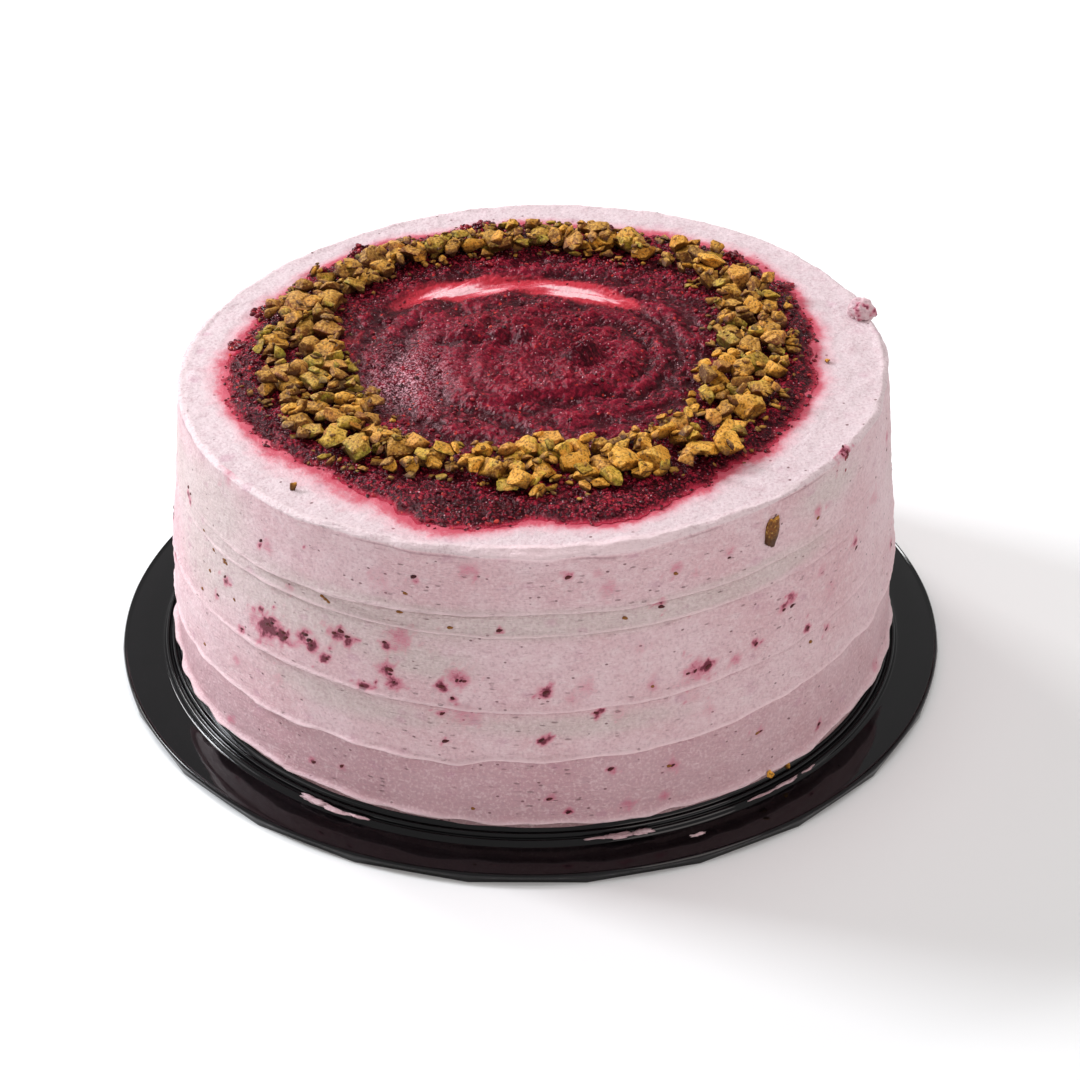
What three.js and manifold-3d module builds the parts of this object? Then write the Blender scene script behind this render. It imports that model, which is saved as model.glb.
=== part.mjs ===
// A round raspberry frosted cake on its low cake base, topped with crushed raspberries and a ring of
// chopped pistachios. Millimetres, +Z up. The origin is on the table under the middle of the base,
// and the front of the cake looks along -Y.
// A direction round the cake is an azimuth in degrees: 0 at the front, 90 at the +X side.

import * as THREE from "three";
import { ConvexGeometry } from "three/addons/geometries/ConvexGeometry.js";
import { mergeVertices } from "three/addons/utils/BufferGeometryUtils.js";
import Module from "manifold-3d";

// ---- Driving dimensions ----

const SEAT_GAP = 0.3; // air between two pieces that lie on each other

// The base: a ten inch plate with a flat-sided skirt, a rounded rim and two raised seating lines.
const BASE_RADIUS = 127;
const SKIRT_SIDES = 24;
const SKIRT_CORNER_AZIMUTH = -8;
const SEAT_HEIGHT = 7.5; // the platform that carries the cake
const SEAT_RING_RADIUS = 113.2; // the outer of the two raised lines, where the flat margin ends
const BASE_STEPS = 48;

// The cake: eight inches across, a little wider at the foot, and a little off the middle of the base.
const CAKE_X = 0.85;
const CAKE_Y = -2.9;
const CAKE_FOOT = SEAT_HEIGHT + SEAT_GAP;
const CAKE_TOP = 97;
const TOP_RADIUS = 103.2;
const TOP_SLOPE_X = 0.031; // the top rises towards +X and, by a little, towards the front
const TOP_SLOPE_Y = -0.004;
const LEVEL_BELOW = 35; // the slope of the top dies out down to this height
const CAKE_STEPS = 80;
// Radius of the frosted wall by height, between the ridges.
const WALL = [
  [0, 108.6],
  [20, 109.2],
  [40, 109.3],
  [55, 108],
  [68, 106.6],
  [88, 104.8],
  [96, 104.2],
];
const FOOT_STRIP = 1.1; // how far the strip under the ragged lower edge is set back
const FOOT_EDGE = 11;

// The spatula's steps, from the lowest: the band above each line stands proud by its depth.
// rise lifts the line from the left side to the right, and shown is the arc where it stands out.
const RIDGES = [
  { height: 31.5, rise: 5.2, depth: 1.5, wander: 0.9, shown: [0, 180] },
  { height: 48.8, rise: 2.6, depth: 1.1, wander: 0.5, shown: [0, 180] },
  { height: 70.8, rise: 0.6, depth: 0.6, wander: 0.3, shown: [-8, 62] },
  { height: 77.3, rise: 1.2, depth: 1.0, wander: 0.4, shown: [0, 58] },
];

// The raspberry topping: its edge as radii round the cake's own middle, from the front by 15 degrees.
const TOPPING_EDGE = [
  92, 95.5, 90, 87, 86.5, 86, 86, 88, 91, 93, 91, 90,
  92, 91, 94, 93, 92, 91, 93, 91.5, 89, 88, 91, 98,
];
const TOPPING_LEVEL = 1.8;
const TOPPING_LIP = 0.7;
const TOPPING_STEPS = 64;
const SWIRL_TIP = { x: 15, y: -2, height: 3.4, spread: 5.5 };
const SWIRL_RISE = { x: -3, y: 9, height: 1.2, spread: 8 };
const SWIRL_PITCH = 15;
const SWIRL_DEPTH = 0.45;
const SPATULA_TRACK = { radius: 46, depth: 1.1, width: 3.5, azimuth: 178, half_arc: 46 };
// Whole crushed berries near the edge: azimuth, radius, size.
const BERRY_LUMPS = [
  [166, 88, 7],
  [-158, 90, 6],
  [-117, 89, 6.5],
  [-99, 90, 6],
  [120, 87, 5],
];

// The pistachio ring: its inner and outer edge by 20 degrees, measured like the topping's edge.
const NUTS_INSIDE = [52, 55, 55, 50, 49, 53, 59, 63, 64, 64, 65, 65, 66, 56, 50, 52, 56, 58];
const NUTS_OUTSIDE = [81, 82, 84, 80, 78, 79, 84, 86, 85, 84, 85, 88, 88, 84, 84, 82, 81, 75];
const NUT_BED = 1.5; // crushed nut under the pieces, at its highest
const NUT_BED_EDGE = 0.8;
const NUT_PIECES = 166;
const LARGEST_NUT = 13;
const SMALLEST_NUT = 6.2;
const NUT_CORNERS = 9;
const NUT_CLOSENESS = 0.42; // middles of two pieces stay apart by this share of their two lengths
const NUT_STEPS = 36;

// Single things on the frosting: azimuth, height above the table, size.
const SIDE_NUT = { azimuth: 38.4, height: 90, size: 8.4 };
const RIM_CRUMB = { azimuth: -41, radius: 98, size: 4 };
const RIM_LUMP = { azimuth: 102, radius: 101.5, size: 8.5 };

// ---- Helpers ----

const wasm = await Module();
wasm.setup();

function seeded(seed) {
  let state = seed;
  return () => {
    state = (state + 0x6d2b79f5) | 0;
    let t = Math.imul(state ^ (state >>> 15), 1 | state);
    t = (t + Math.imul(t ^ (t >>> 7), 61 | t)) ^ t;
    return ((t ^ (t >>> 14)) >>> 0) / 4294967296;
  };
}

const radians = (degrees) => (degrees * Math.PI) / 180;
const smooth = (low, high, value) => THREE.MathUtils.smoothstep(value, low, high);
const bell = (distance, spread) => Math.exp(-0.5 * (distance / spread) ** 2);

// An uneven wave round the cake, between about -1 and 1, made of several lengths.
function ripple(azimuth, seed, lowest = 2, highest = 9) {
  const draw = seeded(seed);
  let sum = 0;
  for (let k = lowest; k <= highest; k++) {
    sum += Math.sin(k * radians(azimuth) + 2 * Math.PI * draw()) / Math.sqrt(k);
  }
  return sum / 1.6;
}

// The shortest turn from one azimuth to another, without sign.
function apart(a, b) {
  return Math.abs(((((a - b) % 360) + 540) % 360) - 180);
}

// A value from a list that is spread evenly round the cake, smoothly joined.
function round_the_cake(list, azimuth) {
  const place = ((((azimuth / 360) * list.length) % list.length) + list.length) % list.length;
  const i = Math.floor(place);
  const at = (n) => list[(n + list.length) % list.length];
  return THREE.MathUtils.lerp(at(i), at(i + 1), smooth(0, 1, place - i));
}

// A value from a list of [position, value] pairs in rising order.
function along(pairs, position) {
  let i = 0;
  while (i < pairs.length - 2 && pairs[i + 1][0] < position) i++;
  const [x0, y0] = pairs[i];
  const [x1, y1] = pairs[i + 1];
  const share = THREE.MathUtils.clamp((position - x0) / (x1 - x0), 0, 1);
  return THREE.MathUtils.lerp(y0, y1, share);
}

// A point in the part's frame, from a place round the cake's own middle.
function on_cake(azimuth, radius, height) {
  const a = radians(azimuth);
  return new THREE.Vector3(CAKE_X + radius * Math.sin(a), CAKE_Y - radius * Math.cos(a), height);
}

const slope = (x, y) => TOP_SLOPE_X * x + TOP_SLOPE_Y * y;
const top_at = (x, y) => CAKE_TOP + slope(x, y);

// The closed skin over a stack of rings, each anticlockwise from above, from the lowest middle
// point out, up and in to the highest. Without the middle points the last ring meets the first.
function skin(rings, bottom_middle, top_middle) {
  const count = rings[0].length;
  const points = rings.flat();
  const faces = [];
  const last = rings.length - 1;
  const spans = bottom_middle ? last : last + 1;
  for (let i = 0; i < spans; i++) {
    const low = i * count;
    const high = ((i + 1) % rings.length) * count;
    for (let j = 0; j < count; j++) {
      const next = (j + 1) % count;
      faces.push(low + j, low + next, high + next, low + j, high + next, high + j);
    }
  }
  if (bottom_middle) {
    points.push(bottom_middle, top_middle);
    for (let j = 0; j < count; j++) {
      const next = (j + 1) % count;
      faces.push(points.length - 2, next, j);
      faces.push(points.length - 1, last * count + j, last * count + next);
    }
  }
  const geometry = new THREE.BufferGeometry().setFromPoints(points);
  geometry.setIndex(faces);
  return geometry;
}

function ring_of(count, point_at) {
  return Array.from({ length: count }, (_, j) => point_at((j * 360) / count));
}

function to_solid(geometry) {
  const bare = geometry.clone();
  bare.deleteAttribute("normal");
  bare.deleteAttribute("uv");
  const merged = mergeVertices(bare, 1e-4);
  return new wasm.Manifold(
    new wasm.Mesh({
      numProp: 3,
      vertProperties: merged.attributes.position.array,
      triVerts: new Uint32Array(merged.index.array),
    }),
  );
}

// The largest body of a solid as a geometry: a scrap that touches nothing is dropped.
function to_geometry(solid) {
  const bodies = solid.decompose().sort((a, b) => b.volume() - a.volume());
  const { vertProperties, triVerts } = bodies[0].getMesh();
  const geometry = new THREE.BufferGeometry();
  geometry.setAttribute("position", new THREE.BufferAttribute(vertProperties, 3));
  geometry.setIndex(new THREE.BufferAttribute(triVerts, 1));
  return geometry;
}

function piece(name, geometry, color, roughness) {
  const shown = geometry.clone();
  shown.computeVertexNormals();
  const material = new THREE.MeshStandardMaterial({ color, roughness, metalness: 0 });
  const mesh = new THREE.Mesh(shown, material);
  mesh.name = name;
  return mesh;
}

// One broken bit: a convex, angular lump whose longest side is size.
function chip(draw, size, flatness, corners = 12) {
  const points = [];
  for (let i = 0; i < corners; i++) {
    const height = 1 - (2 * (i + 0.5)) / corners;
    const turn = i * 2.4 + 0.9 * draw();
    const out = Math.sqrt(1 - height * height);
    const reach = 0.8 + 0.3 * draw();
    points.push(
      new THREE.Vector3(
        reach * out * Math.cos(turn),
        reach * out * Math.sin(turn) * 0.78,
        reach * height * flatness,
      ),
    );
  }
  const lump = new ConvexGeometry(points);
  lump.computeBoundingBox();
  const extent = lump.boundingBox.getSize(new THREE.Vector3());
  const scale = size / Math.max(extent.x, extent.y, extent.z);
  return lump.scale(scale, scale, scale);
}

// ---- The base ----

function base_geometry() {
  const corner_share = Math.cos(Math.PI / SKIRT_SIDES);
  // [radius, height, share of flat sides]
  const profile = [
    [BASE_RADIUS - 0.2, 0, 1],
    [BASE_RADIUS, 1.5, 0.9],
    [BASE_RADIUS, 2.6, 0],
    [BASE_RADIUS - 0.6, 3.1, 0],
    [BASE_RADIUS - 1.5, 2.7, 0],
    [SEAT_RING_RADIUS + 4, 3.1, 0],
    [SEAT_RING_RADIUS + 1.5, 3.6, 0],
    [SEAT_RING_RADIUS, 4.9, 0],
    [SEAT_RING_RADIUS - 0.9, 4.3, 0],
    [SEAT_RING_RADIUS - 2, 5.8, 0],
    [SEAT_RING_RADIUS - 3, 5.4, 0],
    [SEAT_RING_RADIUS - 3.8, SEAT_HEIGHT, 0],
  ];
  const rings = profile.map(([radius, height, flat]) =>
    ring_of(BASE_STEPS, (turn) => {
      const side = 360 / SKIRT_SIDES;
      const from_middle = (turn % side) - side / 2;
      const straight = corner_share / Math.cos(radians(from_middle));
      const r = radius * THREE.MathUtils.lerp(1, straight, flat);
      const a = radians(turn + SKIRT_CORNER_AZIMUTH);
      return new THREE.Vector3(r * Math.sin(a), -r * Math.cos(a), height);
    }),
  );
  return skin(rings, new THREE.Vector3(0, 0, 0), new THREE.Vector3(0, 0, SEAT_HEIGHT));
}

// ---- The frosted cake ----

// Height of a ridge line at an azimuth.
function ridge_line(ridge, number, azimuth) {
  const to_right = Math.sin(radians(azimuth));
  return ridge.height + ridge.rise * Math.max(to_right, -0.6) * 0.9 +
    ridge.wander * ripple(azimuth, 11 + number, 3, 12);
}

// How deep a ridge is at an azimuth: full over its shown arc, then nearly smoothed away.
function ridge_depth(ridge, azimuth) {
  const [middle, half] = ridge.shown;
  const faded = smooth(half - 8, half + 10, apart(azimuth, middle));
  return ridge.depth * (1 - 0.85 * faded);
}

// Rows of the wall from foot to rim, each a function of azimuth that gives [height, radius].
function wall_rows() {
  const plain = (height) => along(WALL, height);
  const sway = (azimuth) => 0.6 * ripple(azimuth, 5, 2, 6);
  const lower_edge = (azimuth) =>
    FOOT_EDGE + 0.6 * ripple(azimuth, 3, 4, 16) + 3.2 * bell(apart(azimuth, 70), 14);
  const rows = [
    () => [CAKE_FOOT, plain(0) - FOOT_STRIP],
    (a) => [lower_edge(a) - 0.7, plain(8) - FOOT_STRIP + 0.2],
    (a) => [lower_edge(a), plain(10) + 0.5],
    (a) => [lower_edge(a) + 3, plain(13) + 0.1],
  ];
  RIDGES.forEach((ridge, number) => {
    const line = (azimuth) => ridge_line(ridge, number, azimuth);
    const depth = (azimuth) => ridge_depth(ridge, azimuth);
    rows.push(
      (a) => [line(a) - 0.9, plain(line(a)) - 0.35 * depth(a)],
      (a) => [line(a), plain(line(a)) + 0.65 * depth(a)],
      (a) => [line(a) + 2.4, plain(line(a) + 2.4) + 0.35 * depth(a)],
    );
    if (number < 2) {
      rows.push((a) => [line(a) + 9, plain(line(a) + 9)]);
    }
  });
  rows.push(() => [86, plain(86)]);
  return rows.map((row) => (azimuth) => {
    const [height, radius] = row(azimuth);
    return [height, radius + sway(azimuth) * smooth(CAKE_FOOT, 40, height)];
  });
}

// The rim: a soft edge with an uneven raised lip where the spatula left it.
function rim_rows() {
  const lip = (azimuth) =>
    0.35 + 0.35 * ripple(azimuth, 21, 3, 14) + 0.7 * bell(apart(azimuth, 6), 9);
  const out = (azimuth) => TOP_RADIUS + 0.6 * ripple(azimuth, 5, 2, 6);
  return [
    (a) => [CAKE_TOP - 4, out(a) + 1.3],
    (a) => [CAKE_TOP - 1.5, out(a) + 0.8],
    (a) => [CAKE_TOP - 0.3 + lip(a), out(a) - 0.4],
    (a) => [CAKE_TOP + 0.7 * lip(a), out(a) - 2.2],
    (a) => [CAKE_TOP, out(a) - 5],
  ];
}

function cake_geometry() {
  const rings = [...wall_rows(), ...rim_rows()].map((row) =>
    ring_of(CAKE_STEPS, (azimuth) => {
      const [height, radius] = row(azimuth);
      const point = on_cake(azimuth, radius, height);
      point.z += slope(point.x, point.y) * smooth(LEVEL_BELOW, CAKE_TOP - 8, height);
      return point;
    }),
  );
  const foot_middle = on_cake(0, 0, CAKE_FOOT);
  const top_middle = on_cake(0, 0, 0);
  top_middle.z = top_at(top_middle.x, top_middle.y);
  return skin(rings, foot_middle, top_middle);
}

// The cake with the few things that stick to its frosting, each half sunk in.
function cake_solid() {
  const draw = seeded(7);
  let solid = to_solid(cake_geometry());
  const side_nut = chip(draw, SIDE_NUT.size, 0.55);
  side_nut.rotateY(Math.PI / 2).rotateZ(radians(SIDE_NUT.azimuth - 90));
  const side = on_cake(SIDE_NUT.azimuth, along(WALL, SIDE_NUT.height) + 0.6, SIDE_NUT.height);
  solid = solid.add(to_solid(side_nut.translate(side.x, side.y, side.z)));
  for (const [thing, flatness, sunk] of [[RIM_CRUMB, 0.7, 0.1], [RIM_LUMP, 0.95, 0.25]]) {
    const place = on_cake(thing.azimuth, thing.radius, 0);
    const height = top_at(place.x, place.y) + thing.size * (0.5 * flatness - sunk);
    const lump = chip(draw, thing.size, flatness, 16).translate(place.x, place.y, height);
    solid = solid.add(to_solid(lump));
  }
  return solid;
}

// ---- The raspberry topping ----

const nuts_inside = (azimuth) => round_the_cake(NUTS_INSIDE, azimuth);
const nuts_outside = (azimuth) => round_the_cake(NUTS_OUTSIDE, azimuth);

// Thickness of the topping: swirled in the middle, level under the nuts, thin at its edge.
function topping_thickness(azimuth, radius, edge) {
  const a = radians(azimuth);
  const x = radius * Math.sin(a);
  const y = -radius * Math.cos(a);
  const free = 1 - smooth(0.8, 0.9, radius / nuts_inside(azimuth));
  const from_tip = Math.hypot(x - SWIRL_TIP.x, y - SWIRL_TIP.y);
  const turned = Math.atan2(y - SWIRL_TIP.y, x - SWIRL_TIP.x);
  const swirl = SWIRL_DEPTH * Math.cos((2 * Math.PI * from_tip) / SWIRL_PITCH - turned);
  const tip = SWIRL_TIP.height * bell(from_tip, SWIRL_TIP.spread);
  const rise = SWIRL_RISE.height * bell(Math.hypot(x - SWIRL_RISE.x, y - SWIRL_RISE.y), SWIRL_RISE.spread);
  const track = -SPATULA_TRACK.depth * bell(radius - SPATULA_TRACK.radius, SPATULA_TRACK.width) *
    (1 - smooth(SPATULA_TRACK.half_arc - 8, SPATULA_TRACK.half_arc, apart(azimuth, SPATULA_TRACK.azimuth)));
  const level = TOPPING_LEVEL + free * (swirl + tip + rise + track);
  return THREE.MathUtils.lerp(TOPPING_LIP, level, smooth(0, 5, edge - radius));
}

function topping_geometry() {
  const edge_at = (azimuth) => round_the_cake(TOPPING_EDGE, azimuth) - 2 + 1.1 * ripple(azimuth, 31, 7, 24);
  const ring = (radius_at, thick_at) =>
    ring_of(TOPPING_STEPS, (azimuth) => {
      const radius = radius_at(azimuth);
      const point = on_cake(azimuth, radius, 0);
      point.z = top_at(point.x, point.y) + SEAT_GAP + thick_at(azimuth, radius);
      return point;
    });
  const thick = (azimuth, radius) => topping_thickness(azimuth, radius, edge_at(azimuth));
  const rings = [ring(edge_at, () => 0), ring((a) => edge_at(a) - 0.4, thick)];
  rings.push(ring((a) => edge_at(a) - 4.5, thick));
  for (const share of [0.98, 0.84, 0.74, 0.63, 0.52, 0.41, 0.3, 0.2, 0.1]) {
    rings.push(ring((a) => share * (share > 0.9 ? nuts_inside(a) : 58), thick));
  }
  const middle = on_cake(0, 0, 0);
  const floor = top_at(middle.x, middle.y) + SEAT_GAP;
  const bottom = new THREE.Vector3(middle.x, middle.y, floor);
  const top = new THREE.Vector3(middle.x, middle.y, floor + thick(0, 0));
  return skin(rings, bottom, top);
}

function topping_solid() {
  const draw = seeded(43);
  let solid = to_solid(topping_geometry());
  for (const [azimuth, radius, size] of BERRY_LUMPS) {
    const place = on_cake(azimuth, radius, 0);
    const height = top_at(place.x, place.y) + SEAT_GAP + 0.05 + 0.31 * size;
    const lump = chip(draw, size, 0.56, 20).translate(place.x, place.y, height);
    solid = solid.add(to_solid(lump));
  }
  return solid;
}

// ---- The pistachio ring ----

const nut_floor = (x, y) => top_at(x, y) + SEAT_GAP + TOPPING_LEVEL + SEAT_GAP;

function nut_bed_geometry() {
  // [share of the ring's width from inside to outside, height above the topping]
  const section = [
    [0.14, 0],
    [0.88, 0],
    [0.84, NUT_BED_EDGE],
    [0.5, NUT_BED],
    [0.2, NUT_BED_EDGE],
  ];
  const rings = section.map(([share, height]) =>
    ring_of(NUT_STEPS, (azimuth) => {
      const radius = THREE.MathUtils.lerp(nuts_inside(azimuth), nuts_outside(azimuth), share);
      const point = on_cake(azimuth, radius, 0);
      point.z = nut_floor(point.x, point.y) + height;
      return point;
    }),
  );
  return skin(rings);
}

// Places for the pieces, largest first: each takes the first free spot of a few drawn at random in
// its own stretch of the ring, and the stretches follow each other by the golden angle, so that
// every size is spread all round.
function nut_places(draw) {
  const places = [];
  for (let i = 0; i < NUT_PIECES; i++) {
    const share = i / (NUT_PIECES - 1);
    const size = THREE.MathUtils.lerp(LARGEST_NUT, SMALLEST_NUT, Math.sqrt(share)) * (0.9 + 0.2 * draw());
    let best = null;
    for (let attempt = 0; attempt < 60; attempt++) {
      const azimuth = (i * 137.508 + (8 + attempt) * draw()) % 360;
      const across = 0.16 + 0.7 * draw();
      const radius = THREE.MathUtils.lerp(nuts_inside(azimuth), nuts_outside(azimuth), across);
      const spot = on_cake(azimuth, radius, 0);
      const room = Math.min(1, ...places.map((other) =>
        spot.distanceTo(other.spot) / (NUT_CLOSENESS * (size + other.size))));
      if (!best || room > best.room) best = { spot, size, room };
      if (room >= 1) break;
    }
    places.push(best);
  }
  return places;
}

function nut_solid() {
  const draw = seeded(2024);
  let solid = to_solid(nut_bed_geometry());
  for (const { spot, size, room } of nut_places(draw)) {
    const lump = chip(draw, size, 0.5 + 0.3 * draw(), NUT_CORNERS);
    lump.rotateX(0.9 * (draw() - 0.5)).rotateY(0.9 * (draw() - 0.5)).rotateZ(2 * Math.PI * draw());
    lump.computeBoundingBox();
    const reach = 0.5 * size;
    const floor = Math.max(...[-reach, reach].flatMap((dx) =>
      [-reach, reach].map((dy) => nut_floor(spot.x + dx, spot.y + dy))));
    const climbed = 0.3 * size * (1 - room); // a piece with too little room lies on its neighbours
    lump.translate(spot.x, spot.y, floor + 0.05 + climbed - lump.boundingBox.min.z);
    solid = solid.add(to_solid(lump));
  }
  return solid;
}

// ---- The part ----

const cake_on_base = new THREE.Group();
cake_on_base.name = "raspberry_pistachio_cake";
cake_on_base.add(
  piece("cake_base", base_geometry(), 0x17161a, 0.12),
  piece("frosted_cake", to_geometry(cake_solid()), 0xe3cacf, 0.55),
  piece("raspberry_topping", to_geometry(topping_solid()), 0x6e1f2b, 0.3),
  piece("pistachio_ring", to_geometry(nut_solid()), 0x96762f, 0.6),
);

export default cake_on_base;
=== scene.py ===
import math

import bmesh
import bpy
import numpy as np
from mathutils import Matrix, Vector, noise


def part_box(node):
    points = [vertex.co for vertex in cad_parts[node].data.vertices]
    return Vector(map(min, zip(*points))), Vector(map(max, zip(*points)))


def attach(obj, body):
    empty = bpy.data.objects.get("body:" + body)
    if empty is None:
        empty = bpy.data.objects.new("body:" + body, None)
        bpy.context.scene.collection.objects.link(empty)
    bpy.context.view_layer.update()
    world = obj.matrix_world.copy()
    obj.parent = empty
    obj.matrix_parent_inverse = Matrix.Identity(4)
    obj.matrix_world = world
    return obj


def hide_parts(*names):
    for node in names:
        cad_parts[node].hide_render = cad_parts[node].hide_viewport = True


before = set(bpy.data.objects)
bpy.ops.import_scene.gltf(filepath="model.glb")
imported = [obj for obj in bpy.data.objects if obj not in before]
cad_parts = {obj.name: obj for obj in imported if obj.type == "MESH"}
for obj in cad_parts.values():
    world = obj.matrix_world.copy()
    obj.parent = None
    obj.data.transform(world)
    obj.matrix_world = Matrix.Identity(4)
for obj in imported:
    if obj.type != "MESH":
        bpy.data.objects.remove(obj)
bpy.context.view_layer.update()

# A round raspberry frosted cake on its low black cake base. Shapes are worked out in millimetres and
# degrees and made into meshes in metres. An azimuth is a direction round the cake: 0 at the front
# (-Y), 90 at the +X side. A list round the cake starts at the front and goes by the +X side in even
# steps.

MM = 0.001

# ---- Sizes, from the frame and from the cake ----


def box_mm(node):
    low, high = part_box(node)
    return np.array(low) / MM, np.array(high) / MM


BASE_LOW, BASE_HIGH = box_mm("cake_base")
BASE_RADIUS = (BASE_HIGH[0] - BASE_LOW[0]) / 2
SEAT_HEIGHT = BASE_HIGH[2]
CAKE_FOOT = box_mm("frosted_cake")[0][2]
# The skirt's number of flat sides, and the azimuth of one of the corners between them.
SKIRT_SIDES, SKIRT_CORNER = 24, -8.0
SEAT_RING_RADIUS = 113.2

CAKE_X, CAKE_Y = 0.85, -2.9
CAKE_TOP = 97.0
TOP_RADIUS = 103.2
# How much the top leans along X and Y; the wall starts to follow it at this height.
TOP_SLOPE = (0.031, -0.004)
LEVEL_BELOW = 35.0
WALL_HEIGHTS = (0, 20, 40, 55, 68, 88, 96)
WALL_RADII = (108.6, 109.2, 109.3, 108.0, 106.6, 104.8, 104.2)

# The spatula's steps round the wall, as heights and depths: the band above each line stands proud of
# the one below it. FOOT_LINE is the ragged lower edge of the frosting.
FOOT_LINE = (10.5, 10.7, 10.8, 11.2, 13.6, 14.2, 12.0, 11.0, 10.8, 11.5, 12.0, 11.3,
             10.8, 10.6, 11.0, 12.0, 11.8, 11.0, 10.6, 10.4, 10.8, 11.4, 11.0, 10.8)
LOW_LINE = (32.3, 33.0, 34.5, 36.6, 38.2, 39.4, 39.6, 39.0, 38.0, 36.8, 35.5, 34.0,
            33.0, 32.0, 31.0, 30.0, 29.0, 28.0, 27.2, 27.0, 28.3, 29.3, 30.0, 30.4)
LOW_DEPTH = (1.2, 1.2, 0.9, 0.8, 0.7, 0.6, 0.5, 0.6, 0.8, 1.0, 1.1, 1.0,
             0.8, 0.7, 0.7, 0.8, 0.8, 0.6, 0.5, 0.5, 0.9, 1.1, 1.2, 1.3)
MIDDLE_LINE = (48.0, 48.8, 49.8, 50.8, 52.4, 53.6, 53.8, 53.0, 52.0, 51.0, 50.5, 50.0,
               49.5, 49.0, 48.5, 48.0, 47.5, 47.5, 47.5, 47.8, 48.0, 48.4, 48.5, 48.2)
MIDDLE_DEPTH = (0.8, 0.8, 0.5, 0.25, 0.25, 0.25, 0.2, 0.3, 0.5, 0.7, 0.8, 0.8,
                0.7, 0.6, 0.5, 0.5, 0.5, 0.4, 0.4, 0.5, 0.7, 0.9, 1.0, 0.9)
HIGH_LINE = (71.0, 71.2, 71.4, 71.2, 71.0, 71.0, 71.0, 70.5, 70.0, 70.5, 71.0, 71.3,
             71.0, 70.6, 70.4, 70.2, 70.0, 70.0, 70.0, 70.2, 70.6, 71.0, 71.0, 71.0)
HIGH_DEPTH = (0.45, 0.5, 0.45, 0.2, 0.05, 0.0, 0.0, 0.1, 0.2, 0.3, 0.4, 0.4,
              0.3, 0.2, 0.1, 0.1, 0.2, 0.2, 0.1, 0.1, 0.35, 0.5, 0.5, 0.5)
TOP_LINE = (78.0, 77.4, 77.5, 78.1, 78.0, 77.8, 77.5, 77.4, 77.6, 78.0, 78.2, 78.0,
            77.6, 77.3, 77.0, 77.0, 77.2, 77.4, 77.0, 76.2, 75.4, 75.6, 76.4, 77.4)
TOP_DEPTH = (0.5, 0.45, 0.45, 0.35, 0.1, 0.05, 0.05, 0.1, 0.3, 0.5, 0.5, 0.3,
             0.2, 0.2, 0.3, 0.4, 0.3, 0.2, 0.1, 0.05, 0.1, 0.6, 1.0, 0.9)

# The raspberry topping's edge and the nut ring's two edges, as radii round the cake's own middle.
TOPPING_EDGE = (92, 95.5, 90, 87, 86.5, 86, 86, 88, 91, 93, 91, 90,
                92, 91, 94, 93, 92, 91.5, 94, 93, 90.5, 88.5, 91, 98)
TOPPING_LEVEL = 1.8
NUTS_INSIDE = (52, 55, 55, 50, 49, 53, 59, 63, 64, 64, 65, 65, 66, 56, 50, 52, 56, 58)
NUTS_OUTSIDE = (81, 82, 84, 80, 78, 79, 84, 86, 82, 80, 81, 85, 87, 84, 84, 82, 81, 75)
SWIRL_TIP = (15.3, -2.2)
SWIRL_RISE = (-3.0, 9.0)
# The swirl's arm: its turn from the tip in degrees, its distance from the tip and its height there.
ARM_TURNS = (0, 60, 120, 180, 216, 239, 270, 308, 340, 360)
ARM_RADII = (13, 11, 14, 38, 40, 24, 19.5, 16.5, 14.5, 13)
ARM_HEIGHTS = (1.6, 1.2, 0.3, 0.0, 1.2, 2.0, 2.2, 2.2, 2.0, 1.6)

# ---- Arithmetic ----


def seeded(seed):
    """Numbers from 0 to 1 that are the same in each run."""
    state = seed

    def draw():
        nonlocal state
        state = (state + 0x6D2B79F5) & 0xFFFFFFFF
        t = ((state ^ (state >> 15)) * (1 | state)) & 0xFFFFFFFF
        t = ((t + (((t ^ (t >> 7)) * (61 | t)) & 0xFFFFFFFF)) & 0xFFFFFFFF) ^ t
        return ((t ^ (t >> 14)) & 0xFFFFFFFF) / 4294967296

    return draw


def smooth(low, high, value):
    """0 at low and 1 at high, smoothly joined; high may be the smaller one."""
    t = np.clip((value - low) / (high - low), 0, 1)
    return t * t * (3 - 2 * t)


def bell(distance, spread):
    return np.exp(-0.5 * (distance / spread) ** 2)


def dome(distance, reach):
    """A rounded lump of height 1 with steep sides."""
    return np.exp(-((distance / reach) ** 4))


def apart(a, b):
    return np.abs((a - b + 540) % 360 - 180)


def ripple(azimuth, seed, lowest, highest):
    """An uneven wave round the cake, about -1 to 1, made of several lengths."""
    draw = seeded(seed)
    total = 0
    for k in range(lowest, highest + 1):
        total = total + np.sin(k * np.radians(azimuth) + 2 * math.pi * draw()) / math.sqrt(k)
    return total / 1.6


def around(values, azimuth):
    """A value from a list spread evenly round the cake, smoothly joined."""
    values = np.array(values, float)
    place = (np.asarray(azimuth, float) / 360 * len(values)) % len(values)
    i = np.floor(place).astype(int)
    share = smooth(0, 1, place - i)
    return values[i] * (1 - share) + values[(i + 1) % len(values)] * share


def rough(points, size, octaves=3):
    """Fractal noise with lumps of about that size, about -1 to 1, at each point."""
    scaled = (np.asarray(points) / size).reshape(-1, 3).tolist()
    values = [noise.fractal(p, 1.0, 2.0, octaves) for p in scaled]
    return np.array(values).reshape(np.shape(points)[:-1])


def vectors(x, y, z):
    """Points from rows or single values of x, y and z."""
    return np.stack(np.broadcast_arrays(x, y, np.asarray(z, float)), -1)


def on_cake(azimuth, radius, height):
    a = np.radians(azimuth)
    return vectors(CAKE_X + radius * np.sin(a), CAKE_Y - radius * np.cos(a), height)


def slope(points):
    return TOP_SLOPE[0] * points[..., 0] + TOP_SLOPE[1] * points[..., 1]


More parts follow.
